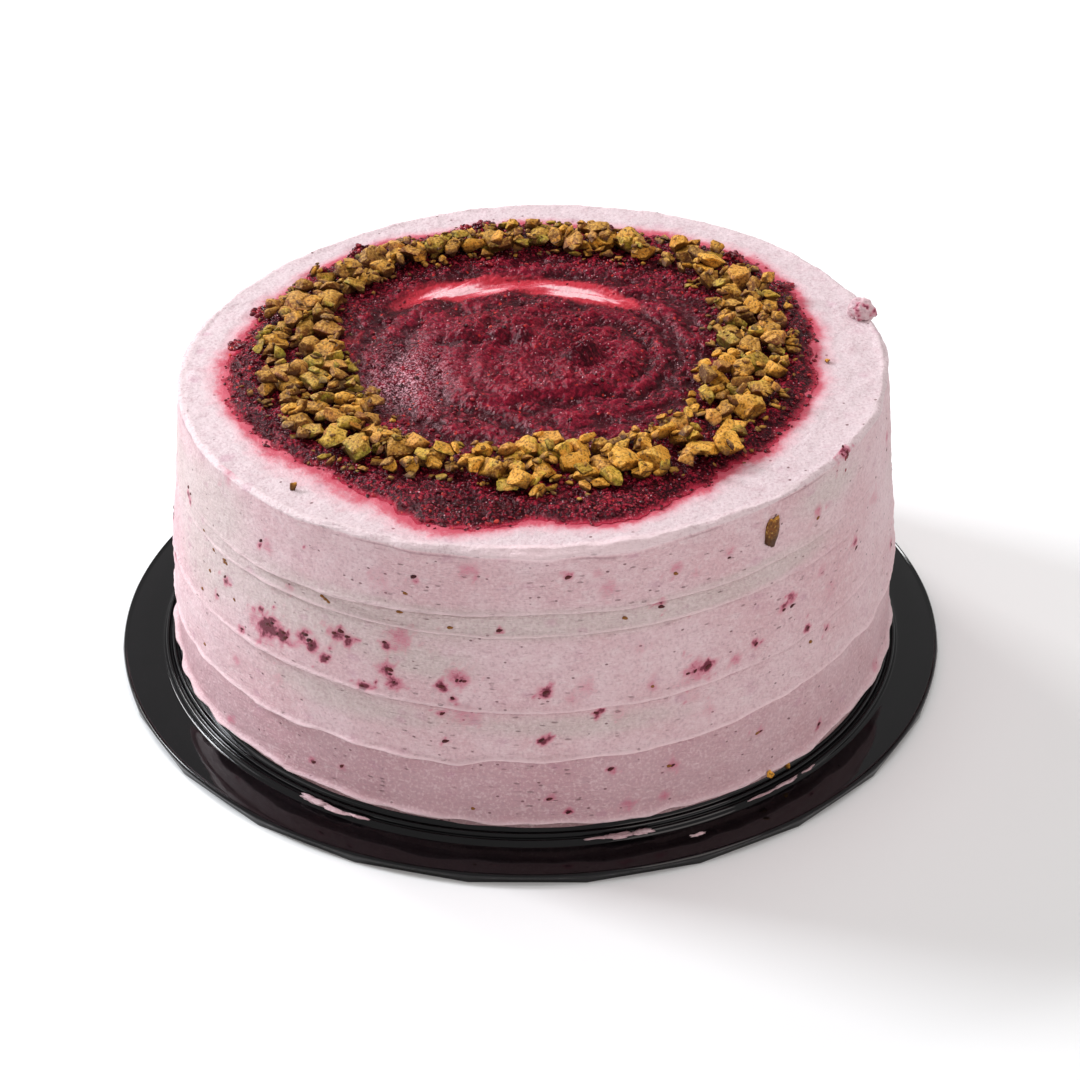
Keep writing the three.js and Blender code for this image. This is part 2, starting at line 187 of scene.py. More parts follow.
def wall_radius(height):
    return np.interp(height, WALL_HEIGHTS, WALL_RADII)


# ---- Meshes ----


def mesh_object(name, points, faces, attributes=None):
    """A smooth-shaded object from points in millimetres, with a float attribute for each name."""
    mesh = bpy.data.meshes.new(name)
    mesh.from_pydata((np.asarray(points) * MM).tolist(), [], faces)
    mesh.shade_smooth()
    for key, values in (attributes or {}).items():
        layer = mesh.attributes.new(key, "FLOAT", "POINT")
        layer.data.foreach_set("value", np.asarray(values, np.float32).ravel())
    made = bpy.data.objects.new(name, mesh)
    bpy.context.scene.collection.objects.link(made)
    return made


def skin(name, rings, bottom, top, attributes=None):
    """The closed skin over rings of points, each anticlockwise from above, from the lowest middle
    point out, up and in to the highest."""
    rows, count = rings.shape[:2]
    at = np.arange(rows * count).reshape(rows, count)
    after = np.roll(at, -1, axis=1)
    quads = np.stack([at[:-1], after[:-1], after[1:], at[1:]], -1).reshape(-1, 4).tolist()
    low, high = rows * count, rows * count + 1
    fans = [[low, int(after[0, j]), int(at[0, j])] for j in range(count)]
    fans += [[high, int(at[-1, j]), int(after[-1, j])] for j in range(count)]
    points = np.concatenate([rings.reshape(-1, 3), [bottom, top]])
    filled = {
        key: np.concatenate([values.ravel(), [values[0].mean(), values[-1].mean()]])
        for key, values in (attributes or {}).items()
    }
    return mesh_object(name, points, quads + fans, filled)


# ---- Node trees ----


class Wire:
    """An output in a node tree. Arithmetic on it adds the Math nodes."""

    def __init__(self, tree, socket):
        self.tree = tree
        self.socket = socket

    def _math(self, operation, a, b):
        return self.tree.node("ShaderNodeMath", {"operation": operation}, {0: a, 1: b})

    def __add__(self, other):
        return self._math("ADD", self, other)

    __radd__ = __add__

    def __sub__(self, other):
        return self._math("SUBTRACT", self, other)

    def __rsub__(self, other):
        return self._math("SUBTRACT", other, self)

    def __mul__(self, other):
        return self._math("MULTIPLY", self, other)

    __rmul__ = __mul__

    def __truediv__(self, other):
        return self._math("DIVIDE", self, other)

    def step(self, low, high):
        """0 below low and 1 above high, smoothly joined; high may be the smaller one."""
        settings = {"interpolation_type": "SMOOTHSTEP"}
        if high < low:
            return 1 - self.step(high, low)
        inputs = {"Value": self, "From Min": low, "From Max": high}
        return self.tree.node("ShaderNodeMapRange", settings, inputs)


class Tree:
    """A node tree, with one method that makes any node."""

    def __init__(self, node_tree):
        self.node_tree = node_tree

    def node(self, kind, settings=None, inputs=None, output=0):
        made = self.node_tree.nodes.new(kind)
        for key, value in (settings or {}).items():
            if key == "stops":
                ramp = made.color_ramp
                while len(ramp.elements) < len(value):
                    ramp.elements.new(1.0)
                for element, (position, color) in zip(ramp.elements, value):
                    element.position = position
                    element.color = (*color, 1.0)
            else:
                setattr(made, key, value)
        for key, value in (inputs or {}).items():
            socket = made.inputs[key]
            if isinstance(value, Wire):
                self.node_tree.links.new(value.socket, socket)
            else:
                socket.default_value = value
        return Wire(self, made.outputs[output]) if made.outputs else made


class Finish(Tree):
    """A material: its shader sits behind one Principled node."""

    def __init__(self, name):
        self.material = bpy.data.materials.new(name)
        self.material.use_nodes = True
        super().__init__(self.material.node_tree)
        self.node_tree.nodes.clear()
        self.place = self.node("ShaderNodeTexCoord", output="Object")

    def attribute(self, name):
        return self.node("ShaderNodeAttribute", {"attribute_name": name}, output="Fac")

    def stretched(self, x, y, z):
        """The place on the object, with each direction scaled."""
        settings = {"operation": "MULTIPLY"}
        return self.node("ShaderNodeVectorMath", settings, {0: self.place, 1: (x, y, z)})

    def noise(self, size, detail=3, vector=None, roughness=0.55):
        """Noise from 0 to 1 with lumps of that size in millimetres."""
        inputs = {
            "Vector": vector or self.place,
            "Scale": 1 / (size * MM),
            "Detail": detail,
            "Roughness": roughness,
        }
        return self.node("ShaderNodeTexNoise", {}, inputs)

    def cells(self, size, vector=None):
        """Cells of that size: the distance from each cell's middle, and a draw from 0 to 1 for it."""
        inputs = {"Vector": vector or self.place, "Scale": 1 / (size * MM)}
        distance = self.node("ShaderNodeTexVoronoi", {}, inputs, "Distance")
        colour = Wire(self, distance.socket.node.outputs["Color"])
        return distance, self.channel(colour, "Red")

    def mix(self, share, a, b):
        """A colour between a and b."""
        settings = {"data_type": "RGBA", "clamp_factor": True}
        colours = [c if isinstance(c, Wire) else (*c, 1.0) for c in (a, b)]
        return self.node("ShaderNodeMix", settings, {0: share, 6: colours[0], 7: colours[1]}, 2)

    def layers(self, colour, *coats):
        """A colour under coats of a share and a colour each, the lowest first."""
        for share, coat in coats:
            colour = self.mix(share, colour, coat)
        return colour

    def ramp(self, value, stops):
        return self.node("ShaderNodeValToRGB", {"stops": stops}, {"Fac": value}, "Color")

    def channel(self, colour, name):
        return self.node("ShaderNodeSeparateColor", {}, {"Color": colour}, name)

    def bump(self, height, depth, normal=None):
        """A normal from a height of 0 to 1 that stands for depth millimetres."""
        inputs = {"Height": height, "Strength": 1.0, "Distance": depth * MM}
        if normal:
            inputs["Normal"] = normal
        return self.node("ShaderNodeBump", {}, inputs)

    def finish(self, **inputs):
        """Adds the shader; a name like base_color stands for the socket Base Color."""
        sockets = {key.replace("_", " ").title().replace("Ior", "IOR"): v for key, v in inputs.items()}
        shader = self.node("ShaderNodeBsdfPrincipled", {}, sockets)
        self.node("ShaderNodeOutputMaterial", {}, {"Surface": shader})
        return self.material


class Geometry(Tree):
    """A geometry node tree with named inputs; it is run once, and leaves a plain mesh."""

    def __init__(self, name, **inputs):
        group = bpy.data.node_groups.new(name, "GeometryNodeTree")
        super().__init__(group)
        group.interface.new_socket("Geometry", in_out="INPUT", socket_type="NodeSocketGeometry")
        group.interface.new_socket("Geometry", in_out="OUTPUT", socket_type="NodeSocketGeometry")
        self.values = inputs
        kinds = {
            float: "NodeSocketFloat",
            bpy.types.Collection: "NodeSocketCollection",
            bpy.types.Material: "NodeSocketMaterial",
        }
        for key, value in inputs.items():
            group.interface.new_socket(key, in_out="INPUT", socket_type=kinds[type(value)])
        self.start = group.nodes.new("NodeGroupInput")

    def input(self, name):
        return Wire(self, self.start.outputs[name])

    def named(self, name, kind):
        """A named attribute of the geometry."""
        return self.node("GeometryNodeInputNamedAttribute", {"data_type": kind}, {"Name": name})

    def run(self, result, source, name):
        """Applies the tree to the source object, and gives the plain mesh as a new object."""
        end = self.node_tree.nodes.new("NodeGroupOutput")
        self.node_tree.links.new(result.socket, end.inputs[0])
        modifier = source.modifiers.new("scatter", "NODES")
        modifier.node_group = self.node_tree
        for item in self.node_tree.interface.items_tree:
            if item.in_out == "INPUT" and item.name in self.values:
                modifier[item.identifier] = self.values[item.name]
        graph = bpy.context.evaluated_depsgraph_get()
        mesh = bpy.data.meshes.new_from_object(source.evaluated_get(graph))
        mesh.name = name
        made = bpy.data.objects.new(name, mesh)
        bpy.context.scene.collection.objects.link(made)
        source.modifiers.clear()
        bpy.data.objects.remove(source)
        return made


def scatter(name, shapes, places, material, seed_values):
    """Copies of the shapes, one at each place, joined to one mesh by a geometry node tree.
    Each place is a dict with at (a point), turn (Euler angles), size (three scales), shape (which)
    and a value for each name in seed_values, which the copies keep as attributes."""
    collection = bpy.data.collections.new(name + "_shapes")
    for number, shape in enumerate(shapes):
        shape.name = f"{name}_{number:02d}"
        for owner in list(shape.users_collection):
            owner.objects.unlink(shape)
        collection.objects.link(shape)
    source = mesh_object(name + "_places", [p["at"] for p in places], [])
    kinds = {"turn": "FLOAT_VECTOR", "size": "FLOAT_VECTOR", "shape": "INT"}
    for key in (*kinds, *seed_values):
        kind = kinds.get(key, "FLOAT")
        layer = source.data.attributes.new(key, kind, "POINT")
        values = np.array([p[key] for p in places], np.int32 if kind == "INT" else np.float32)
        layer.data.foreach_set("vector" if kind == "FLOAT_VECTOR" else "value", values.ravel())
    tree = Geometry(name, shapes=collection, finish=material, scale=MM)
    points = tree.node("GeometryNodeMeshToPoints", {}, {"Mesh": tree.input("Geometry")})
    parts = {"Collection": tree.input("shapes"), "Separate Children": True, "Reset Children": True}
    chosen = tree.node("GeometryNodeCollectionInfo", {"transform_space": "ORIGINAL"}, parts)
    turned = tree.node("FunctionNodeEulerToRotation", {}, {"Euler": tree.named("turn", "FLOAT_VECTOR")})
    scales = {0: tree.named("size", "FLOAT_VECTOR"), "Scale": tree.input("scale")}
    copying = {
        "Points": points,
        "Instance": chosen,
        "Pick Instance": True,
        "Instance Index": tree.named("shape", "INT"),
        "Rotation": turned,
        "Scale": tree.node("ShaderNodeVectorMath", {"operation": "SCALE"}, scales),
    }
    copies = tree.node("GeometryNodeInstanceOnPoints", {}, copying)
    real = tree.node("GeometryNodeRealizeInstances", {}, {"Geometry": copies})
    painted = tree.node("GeometryNodeSetMaterial", {}, {"Geometry": real, "Material": tree.input("finish")})
    made = tree.run(painted, source, name)
    for shape in shapes:
        bpy.data.objects.remove(shape)
    bpy.data.collections.remove(collection)
    return made


# ---- The cake base ----

BASE_COLUMNS = 312
CORNER_CUTS = 3


def rounded(profile):
    """The profile with its corners cut off again and again, which rounds them."""
    points = np.array(profile, float)
    for _ in range(CORNER_CUTS):
        cut = [points[0]]
        for a, b in zip(points[:-1], points[1:]):
            cut += [a * 0.8 + b * 0.2, a * 0.2 + b * 0.8]
        points = np.array(cut + [points[-1]])
    return points


def make_base():
    edge, ring = BASE_RADIUS, SEAT_RING_RADIUS
    # Radius, height and share of the flat sides: the skirt, the raised edge, the margin, the ridges.
    outside = (
        (edge - 0.7, 0, 1), (edge - 0.15, 0, 1), (edge, 1.5, 0.9), (edge + 0.1, 2.5, 0.1),
        (edge - 0.5, 3.35, 0), (edge - 1.4, 2.75, 0), (edge - 2.4, 2.85, 0), (edge - 6, 3.1, 0),
        (ring + 1.9, 3.2, 0), (ring + 1.1, 3.35, 0), (ring + 0.4, 4.9, 0), (ring - 0.4, 4.9, 0),
        (ring - 1.0, 4.1, 0), (ring - 1.6, 5.8, 0), (ring - 2.4, 5.8, 0), (ring - 3.0, 5.3, 0),
        (ring - 3.8, SEAT_HEIGHT, 0), (ring - 12, SEAT_HEIGHT, 0),
    )
    turn = np.arange(BASE_COLUMNS) * 360 / BASE_COLUMNS
    side = 360 / SKIRT_SIDES
    straight = math.cos(math.pi / SKIRT_SIDES) / np.cos(np.radians(turn % side - side / 2))
    azimuth = np.radians(turn + SKIRT_CORNER)
    rings = []
    for radius, height, flat in rounded(outside):
        r = radius * (1 + flat * (straight - 1))
        rings.append(vectors(r * np.sin(azimuth), -r * np.cos(azimuth), height))
    return skin("plastic_base", np.array(rings), (0, 0, 0), (0, 0, SEAT_HEIGHT))


def base_finish():
    paint = Finish("black_plastic")
    scratches = paint.noise(0.9, 4, paint.stretched(1, 0.06, 1))
    crossing = paint.noise(0.7, 4, paint.stretched(0.05, 1, 1))
    smudge = paint.noise(28, 3)
    fine = (scratches.step(0.66, 0.74) + crossing.step(0.68, 0.76)) * 0.5
    return paint.finish(
        base_color=paint.mix(smudge.step(0.3, 0.8), (0.0030, 0.0024, 0.0030), (0.0048, 0.0040, 0.0050)),
        roughness=0.06 + 0.05 * smudge.step(0.45, 0.75) + 0.2 * fine,
        normal=paint.bump(paint.noise(14, 2), 0.04),
        ior=1.5,
        specular_ior_level=0.38,
    )


# ---- The frosting ----

CAKE_COLUMNS = 640
# Levels on the frosting: 0 at its foot, 1 to 5 on the wall's lines, 6 where the rim starts, 7 where
# it ends, 8 inside its lip and 9 on the flat top. The first six stretches have these rows.
WALL_ROWS = (8, 22, 24, 24, 14, 16)
RIM_ROWS = 13
RIM_ROUNDING = 1.5
RIM_HEIGHT = 5
TOP_RINGS = (*np.arange(96.6, 78, -1.15), 72.0, 60.0, 40.0, 20.0)
# Where the lowest line is torn: azimuth, spread and lift.
LOW_TEARS = ((-12.5, 2.2, -0.6), (-5.0, 3.0, 0.5), (5.5, 3.0, 0.3), (1.0, 1.6, -0.3))
# Where the rim droops: azimuth, spread and drop.
RIM_DROOPS = ((9, 9, 1.6), (-8, 12, 0.9), (28, 12, 0.5))
FOOT_STEP = 1.5
STEP_DEPTHS = (LOW_DEPTH, MIDDLE_DEPTH, HIGH_DEPTH, TOP_DEPTH)


def wall_lines(azimuth):
    """Heights of the wall's lines at each azimuth, from the foot to the start of the rim."""
    fine = ripple(azimuth, 71, 18, 60) * 0.16
    low = around(LOW_LINE, azimuth) + fine + 0.25 * ripple(azimuth, 72, 9, 22)
    for middle, spread, lift in LOW_TEARS:
        low = low + lift * bell(apart(azimuth, middle), spread)
    foot = around(FOOT_LINE, azimuth) + 0.32 * ripple(azimuth, 73, 14, 70)
    middle = around(MIDDLE_LINE, azimuth) + 0.2 * ripple(azimuth, 74, 8, 30)
    high = around(HIGH_LINE, azimuth) + 0.12 * ripple(azimuth, 75, 8, 26)
    top = around(TOP_LINE, azimuth) + 0.18 * ripple(azimuth, 76, 8, 30)
    start = np.full_like(foot, CAKE_FOOT)
    return [start, foot, low, middle, high, top, np.full_like(foot, CAKE_TOP - RIM_HEIGHT)]


def step_offset(above, depth):
    """How far the wall stands out at a height above a spatula line, for a step of that depth."""
    over = smooth(-0.4, 0.05, above)
    proud = 0.6 * np.exp(-np.maximum(above, 0) / 6) + 0.75 * bell(above - 0.3, 0.32)
    sunk = -0.7 * np.exp(np.minimum(above, 0) / 5) - 0.35 * bell(above + 0.5, 0.4)
    return depth * (over * proud + (1 - over) * sunk)


def wall_grid(azimuth):
    """Heights, radii, levels and painted shade and highlight of the wall: a row for each ring, a column for
    each azimuth.
    The painted shade and highlight is 1 in the thin painted shade line under a step and -1 in the thin
    painted highlight on the step's own lip."""
    lines = wall_lines(azimuth)
    heights, levels = [], []
    for number, rows in enumerate(WALL_ROWS):
        even = np.arange(rows) / rows
        gathered = 0.5 - 0.5 * np.cos(math.pi * even)
        for share in 0.22 * even + 0.78 * gathered:
            heights.append(lines[number] * (1 - share) + lines[number + 1] * share)
            levels.append(np.full_like(azimuth, number + share))
    heights, levels = np.array(heights), np.array(levels)
    radius = wall_radius(heights)
    crease = np.zeros_like(heights)
    lip = np.zeros_like(heights)
    steps = (np.full_like(azimuth, FOOT_STEP), *(around(depths, azimuth) for depths in STEP_DEPTHS))
    for number, (line, depth) in enumerate(zip(lines[1:6], steps)):
        depth = depth * np.maximum(0.9 + 0.25 * ripple(azimuth, 80 + number, 8, 50), 0.1)
        radius = radius + step_offset(heights - line, 1.25 * depth)
        # Painted shade in a thin line under each step, and painted highlight on its lip.
        crease = np.maximum(crease, np.minimum(1.3 * depth, 1) * bell(heights - line + 0.4, 0.26))
        lip = np.maximum(lip, np.minimum(1.5 * depth, 1) * bell(heights - line - 0.3, 0.3))
    return heights, radius, levels, crease - lip


def sway(azimuth):
    return 0.6 * ripple(azimuth, 5, 2, 6)


def rim_rows(azimuth):
    """The rim's soft edge with the raised lip that the spatula left, then the flat top."""
    lip = 0.35 + 0.3 * ripple(azimuth, 21, 3, 14) + 0.16 * ripple(azimuth, 22, 20, 70)
    lip = lip * (1 - 0.6 * bell(apart(azimuth, -75), 35)) + 0.55 * bell(apart(azimuth, 8), 8)
    out = TOP_RADIUS + 0.9 + 0.25 * ripple(azimuth, 23, 16, 50)
    overhang = np.maximum(0.35 + 0.35 * ripple(azimuth, 24, 5, 30), 0) + 0.35 * bell(apart(azimuth, 5), 12)
    droop = sum(drop * bell(apart(azimuth, middle), spread) for middle, spread, drop in RIM_DROOPS)
    droop = droop + 0.25 * ripple(azimuth, 25, 12, 50) * (droop + 0.4)
    rows = []
    for share in np.linspace(0, 1, RIM_ROWS):
        turn = share * math.pi / 2
        inset = RIM_ROUNDING * (1 - math.cos(turn))
        radius = out + 0.6 * droop - inset + overhang * bell(share - 0.45, 0.18)
        height = CAKE_TOP - (1.15 * RIM_ROUNDING + droop) * (1 - math.sin(turn)) + lip * share ** 2
        rows.append((height, radius, 6 + share))
    for share in (0.25, 0.5, 0.75, 1.0):
        rows.append((CAKE_TOP + lip * (1 - share) ** 2, out - RIM_ROUNDING - 3 * share, 7 + share))
    for radius in TOP_RINGS:
        rows.append((np.full_like(azimuth, CAKE_TOP), np.full_like(azimuth, radius), 9.0))
    return [(h, r, np.full_like(azimuth, level)) for h, r, level in rows]


def topping_edge(azimuth):
    """The outer edge of the raspberry juice."""
    return around(TOPPING_EDGE, azimuth) + 0.7 * ripple(azimuth, 31, 9, 30)


def fringe(azimuth):
    """How wide the juice's soft edge is, against its narrowest."""
    return 1.3 + 0.3 * ripple(azimuth, 35, 3, 12) + 1.1 * bell(apart(azimuth, -38), 15)


# Bits of raspberry in the frosting: azimuth, height, radius of the pink halo and how dark each is.
BERRY_BITS = (
    (-43.5, 56.5, 4.2, 1.0), (-40.8, 56.0, 2.6, 1.0), (-46.5, 57.0, 2.6, 0.45), (-36.5, 58.8, 2.0, 0.8),
    (-34.6, 57.2, 2.2, 0.95), (-32.3, 54.6, 1.5, 1.0), (-37.5, 55.8, 1.8, 0.4), (-30.3, 63.6, 2.4, 0.75),
    (-28.6, 62.6, 1.5, 0.9), (-22.3, 63.9, 1.5, 1.0), (-20.0, 67.2, 3.4, 0.5), (-21.8, 56.2, 2.2, 0.75),
    (-20.8, 53.2, 1.9, 0.8), (-13.5, 54.4, 1.6, 1.0), (-11.2, 57.4, 3.0, 0.65), (-11.7, 51.4, 1.0, 0.9),
    (-25.6, 49.6, 1.7, 1.0), (-49.6, 49.8, 1.2, 0.8), (-56.5, 54.5, 1.3, 0.7), (-54.3, 61.9, 1.2, 0.9),
    (-69.6, 76.5, 1.4, 0.9), (-68.4, 75.2, 1.2, 0.9), (-55.3, 97.6, 2.6, 0.45), (-45.6, 82.0, 1.0, 0.9),
    (-44.0, 83.4, 2.2, 0.4), (-23.1, 84.4, 2.7, 0.3), (-9.6, 91.0, 2.4, 0.45), (-17.8, 86.6, 1.0, 0.8),
    (-10.3, 46.0, 3.4, 0.4), (-13.7, 45.4, 0.9, 0.9), (-7.6, 47.4, 0.9, 0.9), (-41.0, 41.0, 2.0, 0.25),
    (-51.0, 37.4, 1.6, 0.4), (-12.9, 37.4, 0.9, 0.9), (-29.8, 19.2, 1.0, 0.7), (-35.0, 17.4, 1.2, 0.8),
    (-54.0, 13.6, 1.6, 0.5), (-67.0, 47.0, 1.6, 0.3), (-5.0, 73.3, 0.9, 1.0), (-39.5, 73.0, 1.4, 0.4),
    (1.8, 54.4, 1.8, 1.0), (1.3, 39.0, 1.4, 1.0), (7.6, 55.3, 2.2, 0.35), (5.4, 51.5, 1.5, 0.35),
    (9.1, 46.6, 1.1, 0.9), (12.4, 45.4, 1.8, 0.25), (17.3, 53.2, 1.2, 0.5), (15.8, 65.0, 2.0, 0.25),
    (24.4, 54.4, 3.4, 0.6), (26.2, 54.7, 1.7, 1.0), (31.0, 53.6, 1.9, 0.5), (34.9, 56.5, 1.2, 0.9),
    (40.6, 62.9, 1.2, 1.0), (42.2, 64.0, 1.2, 0.8), (45.3, 53.0, 1.1, 0.9), (51.2, 60.4, 2.4, 0.3),
    (49.0, 67.0, 2.0, 0.35), (59.0, 67.2, 1.2, 0.9), (50.2, 48.8, 1.0, 0.8), (19.0, 77.0, 1.2, 0.9),
    (21.4, 86.2, 1.7, 0.5), (11.3, 84.0, 2.2, 0.4), (48.6, 85.6, 1.8, 0.5), (67.0, 72.5, 2.2, 0.35),
    (56.4, 98.6, 3.0, 0.75), (26.4, 41.0, 2.0, 0.3), (24.4, 46.0, 1.8, 0.2), (11.2, 27.2, 0.9, 0.9),
    (20.8, 24.6, 1.5, 0.6), (35.8, 27.0, 1.1, 0.7), (48.9, 16.4, 1.1, 0.8), (13.8, 15.0, 1.8, 0.5),
    (19.6, 15.0, 1.5, 0.5), (5.2, 14.0, 0.9, 0.9), (2.5, 19.2, 1.1, 0.8), (68.0, 15.4, 2.8, 0.45),
    (5.3, 89.3, 1.2, 0.6), (9.2, 89.0, 1.2, 0.4), (30.3, 86.4, 1.0, 0.6), (24.6, 83.4, 1.2, 0.3),
)
BACK_BITS = 80
MIDDLE_WALL_RADIUS = 107
# The reach of a stain: in degrees for the search, and against its halo's radius.
STAIN_SEARCH, STAIN_REACH = 9, 1.85

# Pale grey-green patches of plainer frosting: azimuth, height, half-width in degrees, half-height.
PLAIN_PATCHES = (
    (-58, 86, 8, 8), (-62, 62, 8, 9), (-38, 66, 10, 7), (-25, 74, 13, 3.6), (-8, 74.5, 14, 3.0),
    (-16, 61, 6, 4), (6, 74, 10, 2.4), (22, 74.5, 12, 3.0), (40, 76.5, 9, 2.8), (-30, 43, 12, 4),
    (8, 43, 12, 3), (52, 90, 7, 5), (95, 70, 14, 6), (140, 50, 16, 7), (185, 74, 16, 5),
    (215, 60, 12, 8), (250, 72, 14, 5), (280, 80, 10, 7),
)


def berry_bits():
    """The bits that show from the front, and more of the same all round the back."""
    draw = seeded(404)
    bits = list(BERRY_BITS)
    for _ in range(BACK_BITS):
        azimuth = 74 + 212 * draw()
        radius = 0.9 + 2.6 * draw() ** 2
        bits.append((azimuth, 14 + 78 * draw(), radius, 0.3 + 0.7 * draw()))
    return bits


def stains(points, azimuth, heights):
    """How pink the frosting is round the bits of raspberry in it, for each point of the wall."""
    total = np.zeros(heights.shape)
    wobble = 1 + 0.8 * rough(points, 2.2, 3)
    for middle, height, radius, strength in berry_bits():
        columns = np.nonzero(apart(azimuth, middle) < STAIN_SEARCH)[0]
        across = np.radians((azimuth[columns] - middle + 540) % 360 - 180) * MIDDLE_WALL_RADIUS
        distance = np.hypot(across * 0.85, heights[:, columns] - height) * wobble[:, columns]
        spot = strength * (1 - smooth(0, STAIN_REACH * radius, distance))
        total[:, columns] = np.maximum(total[:, columns], spot)
    return total


def plain_share(azimuth, heights):
    total = np.zeros(heights.shape)
    for middle, height, wide, tall in PLAIN_PATCHES:
        total += bell(apart(azimuth, middle), wide) * bell(heights - height, tall)
    return np.minimum(total, 1)


def make_frosting():
    """The frosting's piece, and its grid of points: a row for each ring from the foot up."""
    azimuth = np.arange(CAKE_COLUMNS) * 360 / CAKE_COLUMNS
    heights, radii, levels, crease = wall_grid(azimuth)
    radii = radii + sway(azimuth) * smooth(CAKE_FOOT, 40, heights)
    rim = rim_rows(azimuth)
    heights = np.concatenate([heights, [r[0] for r in rim]])
    on_top = np.concatenate([np.zeros(len(radii)), [1.0 if r[2][0] > 8 else 0.0 for r in rim]])
    radii = np.concatenate([radii, [r[1] + sway(azimuth) * (r[2][0] < 8.5) for r in rim]])
    levels = np.concatenate([levels, [r[2] for r in rim]])
    # A thin painted shade line just under the rim's overhang, in broken stretches.
    rim_shade_line = smooth(0.0, 0.5, ripple(azimuth, 26, 5, 30)) * 0.7
    # A painted highlight along the rim's lip at the front.
    painted_lip_highlight = 0.9 * bell(apart(azimuth, 6), 15) * (0.75 + 0.3 * ripple(azimuth, 27, 9, 50))
    bands = []
    for _, _, level in rim:
        lip = painted_lip_highlight * smooth(6.15, 6.3, level) * smooth(7.7, 7.0, level)
        bands.append(rim_shade_line * bell(level - 6.12, 0.06) - lip)
    crease = np.concatenate([crease, bands])
    points = on_cake(azimuth, radii, heights)
    points[..., 2] += slope(points) * smooth(LEVEL_BELOW, CAKE_TOP - 8, heights)
    wide = rough(points, 34, 2)
    streaked = rough(points * (1, 1, 4.5), 9, 3)
    small = rough(points, 2.6, 2)
    out = on_cake(azimuth, 1.0, 0) - (CAKE_X, CAKE_Y, 0)
    free = smooth(CAKE_FOOT, CAKE_FOOT + 4, heights)
    push = (0.4 * wide + 0.3 * streaked + 0.14 * small) * free
    swept = vectors(radii / 2.2, 9 * np.cos(np.radians(azimuth)), 9 * np.sin(np.radians(azimuth)))
    relief = 0.3 * rough(swept, 1.0, 3) + 0.2 * wide + 0.26 * rough(points, 7, 3) + 0.12 * small
    lift = relief * smooth(5.5, 7, levels)
    covered = 1 - smooth(76, 80, radii)
    points = points + out * (push * (1 - on_top[:, None]))[..., None]
    points[..., 2] += lift * (1 - covered)
    rows = {
        "level": levels,
        "crease": crease,
        "plain": plain_share(azimuth, heights) * (levels < 7),
        "juice": np.where(levels > 6.6, (topping_edge(azimuth) - radii) / fringe(azimuth), -20),
        "stain": stains(points, azimuth, heights) * (levels < 7.2),
    }
    return skin("frosting", points, on_cake(0, 0, CAKE_FOOT), top_middle(), rows), points


def top_middle():
    point = on_cake(0, 0, CAKE_TOP)
    point[2] += slope(point)
    return point


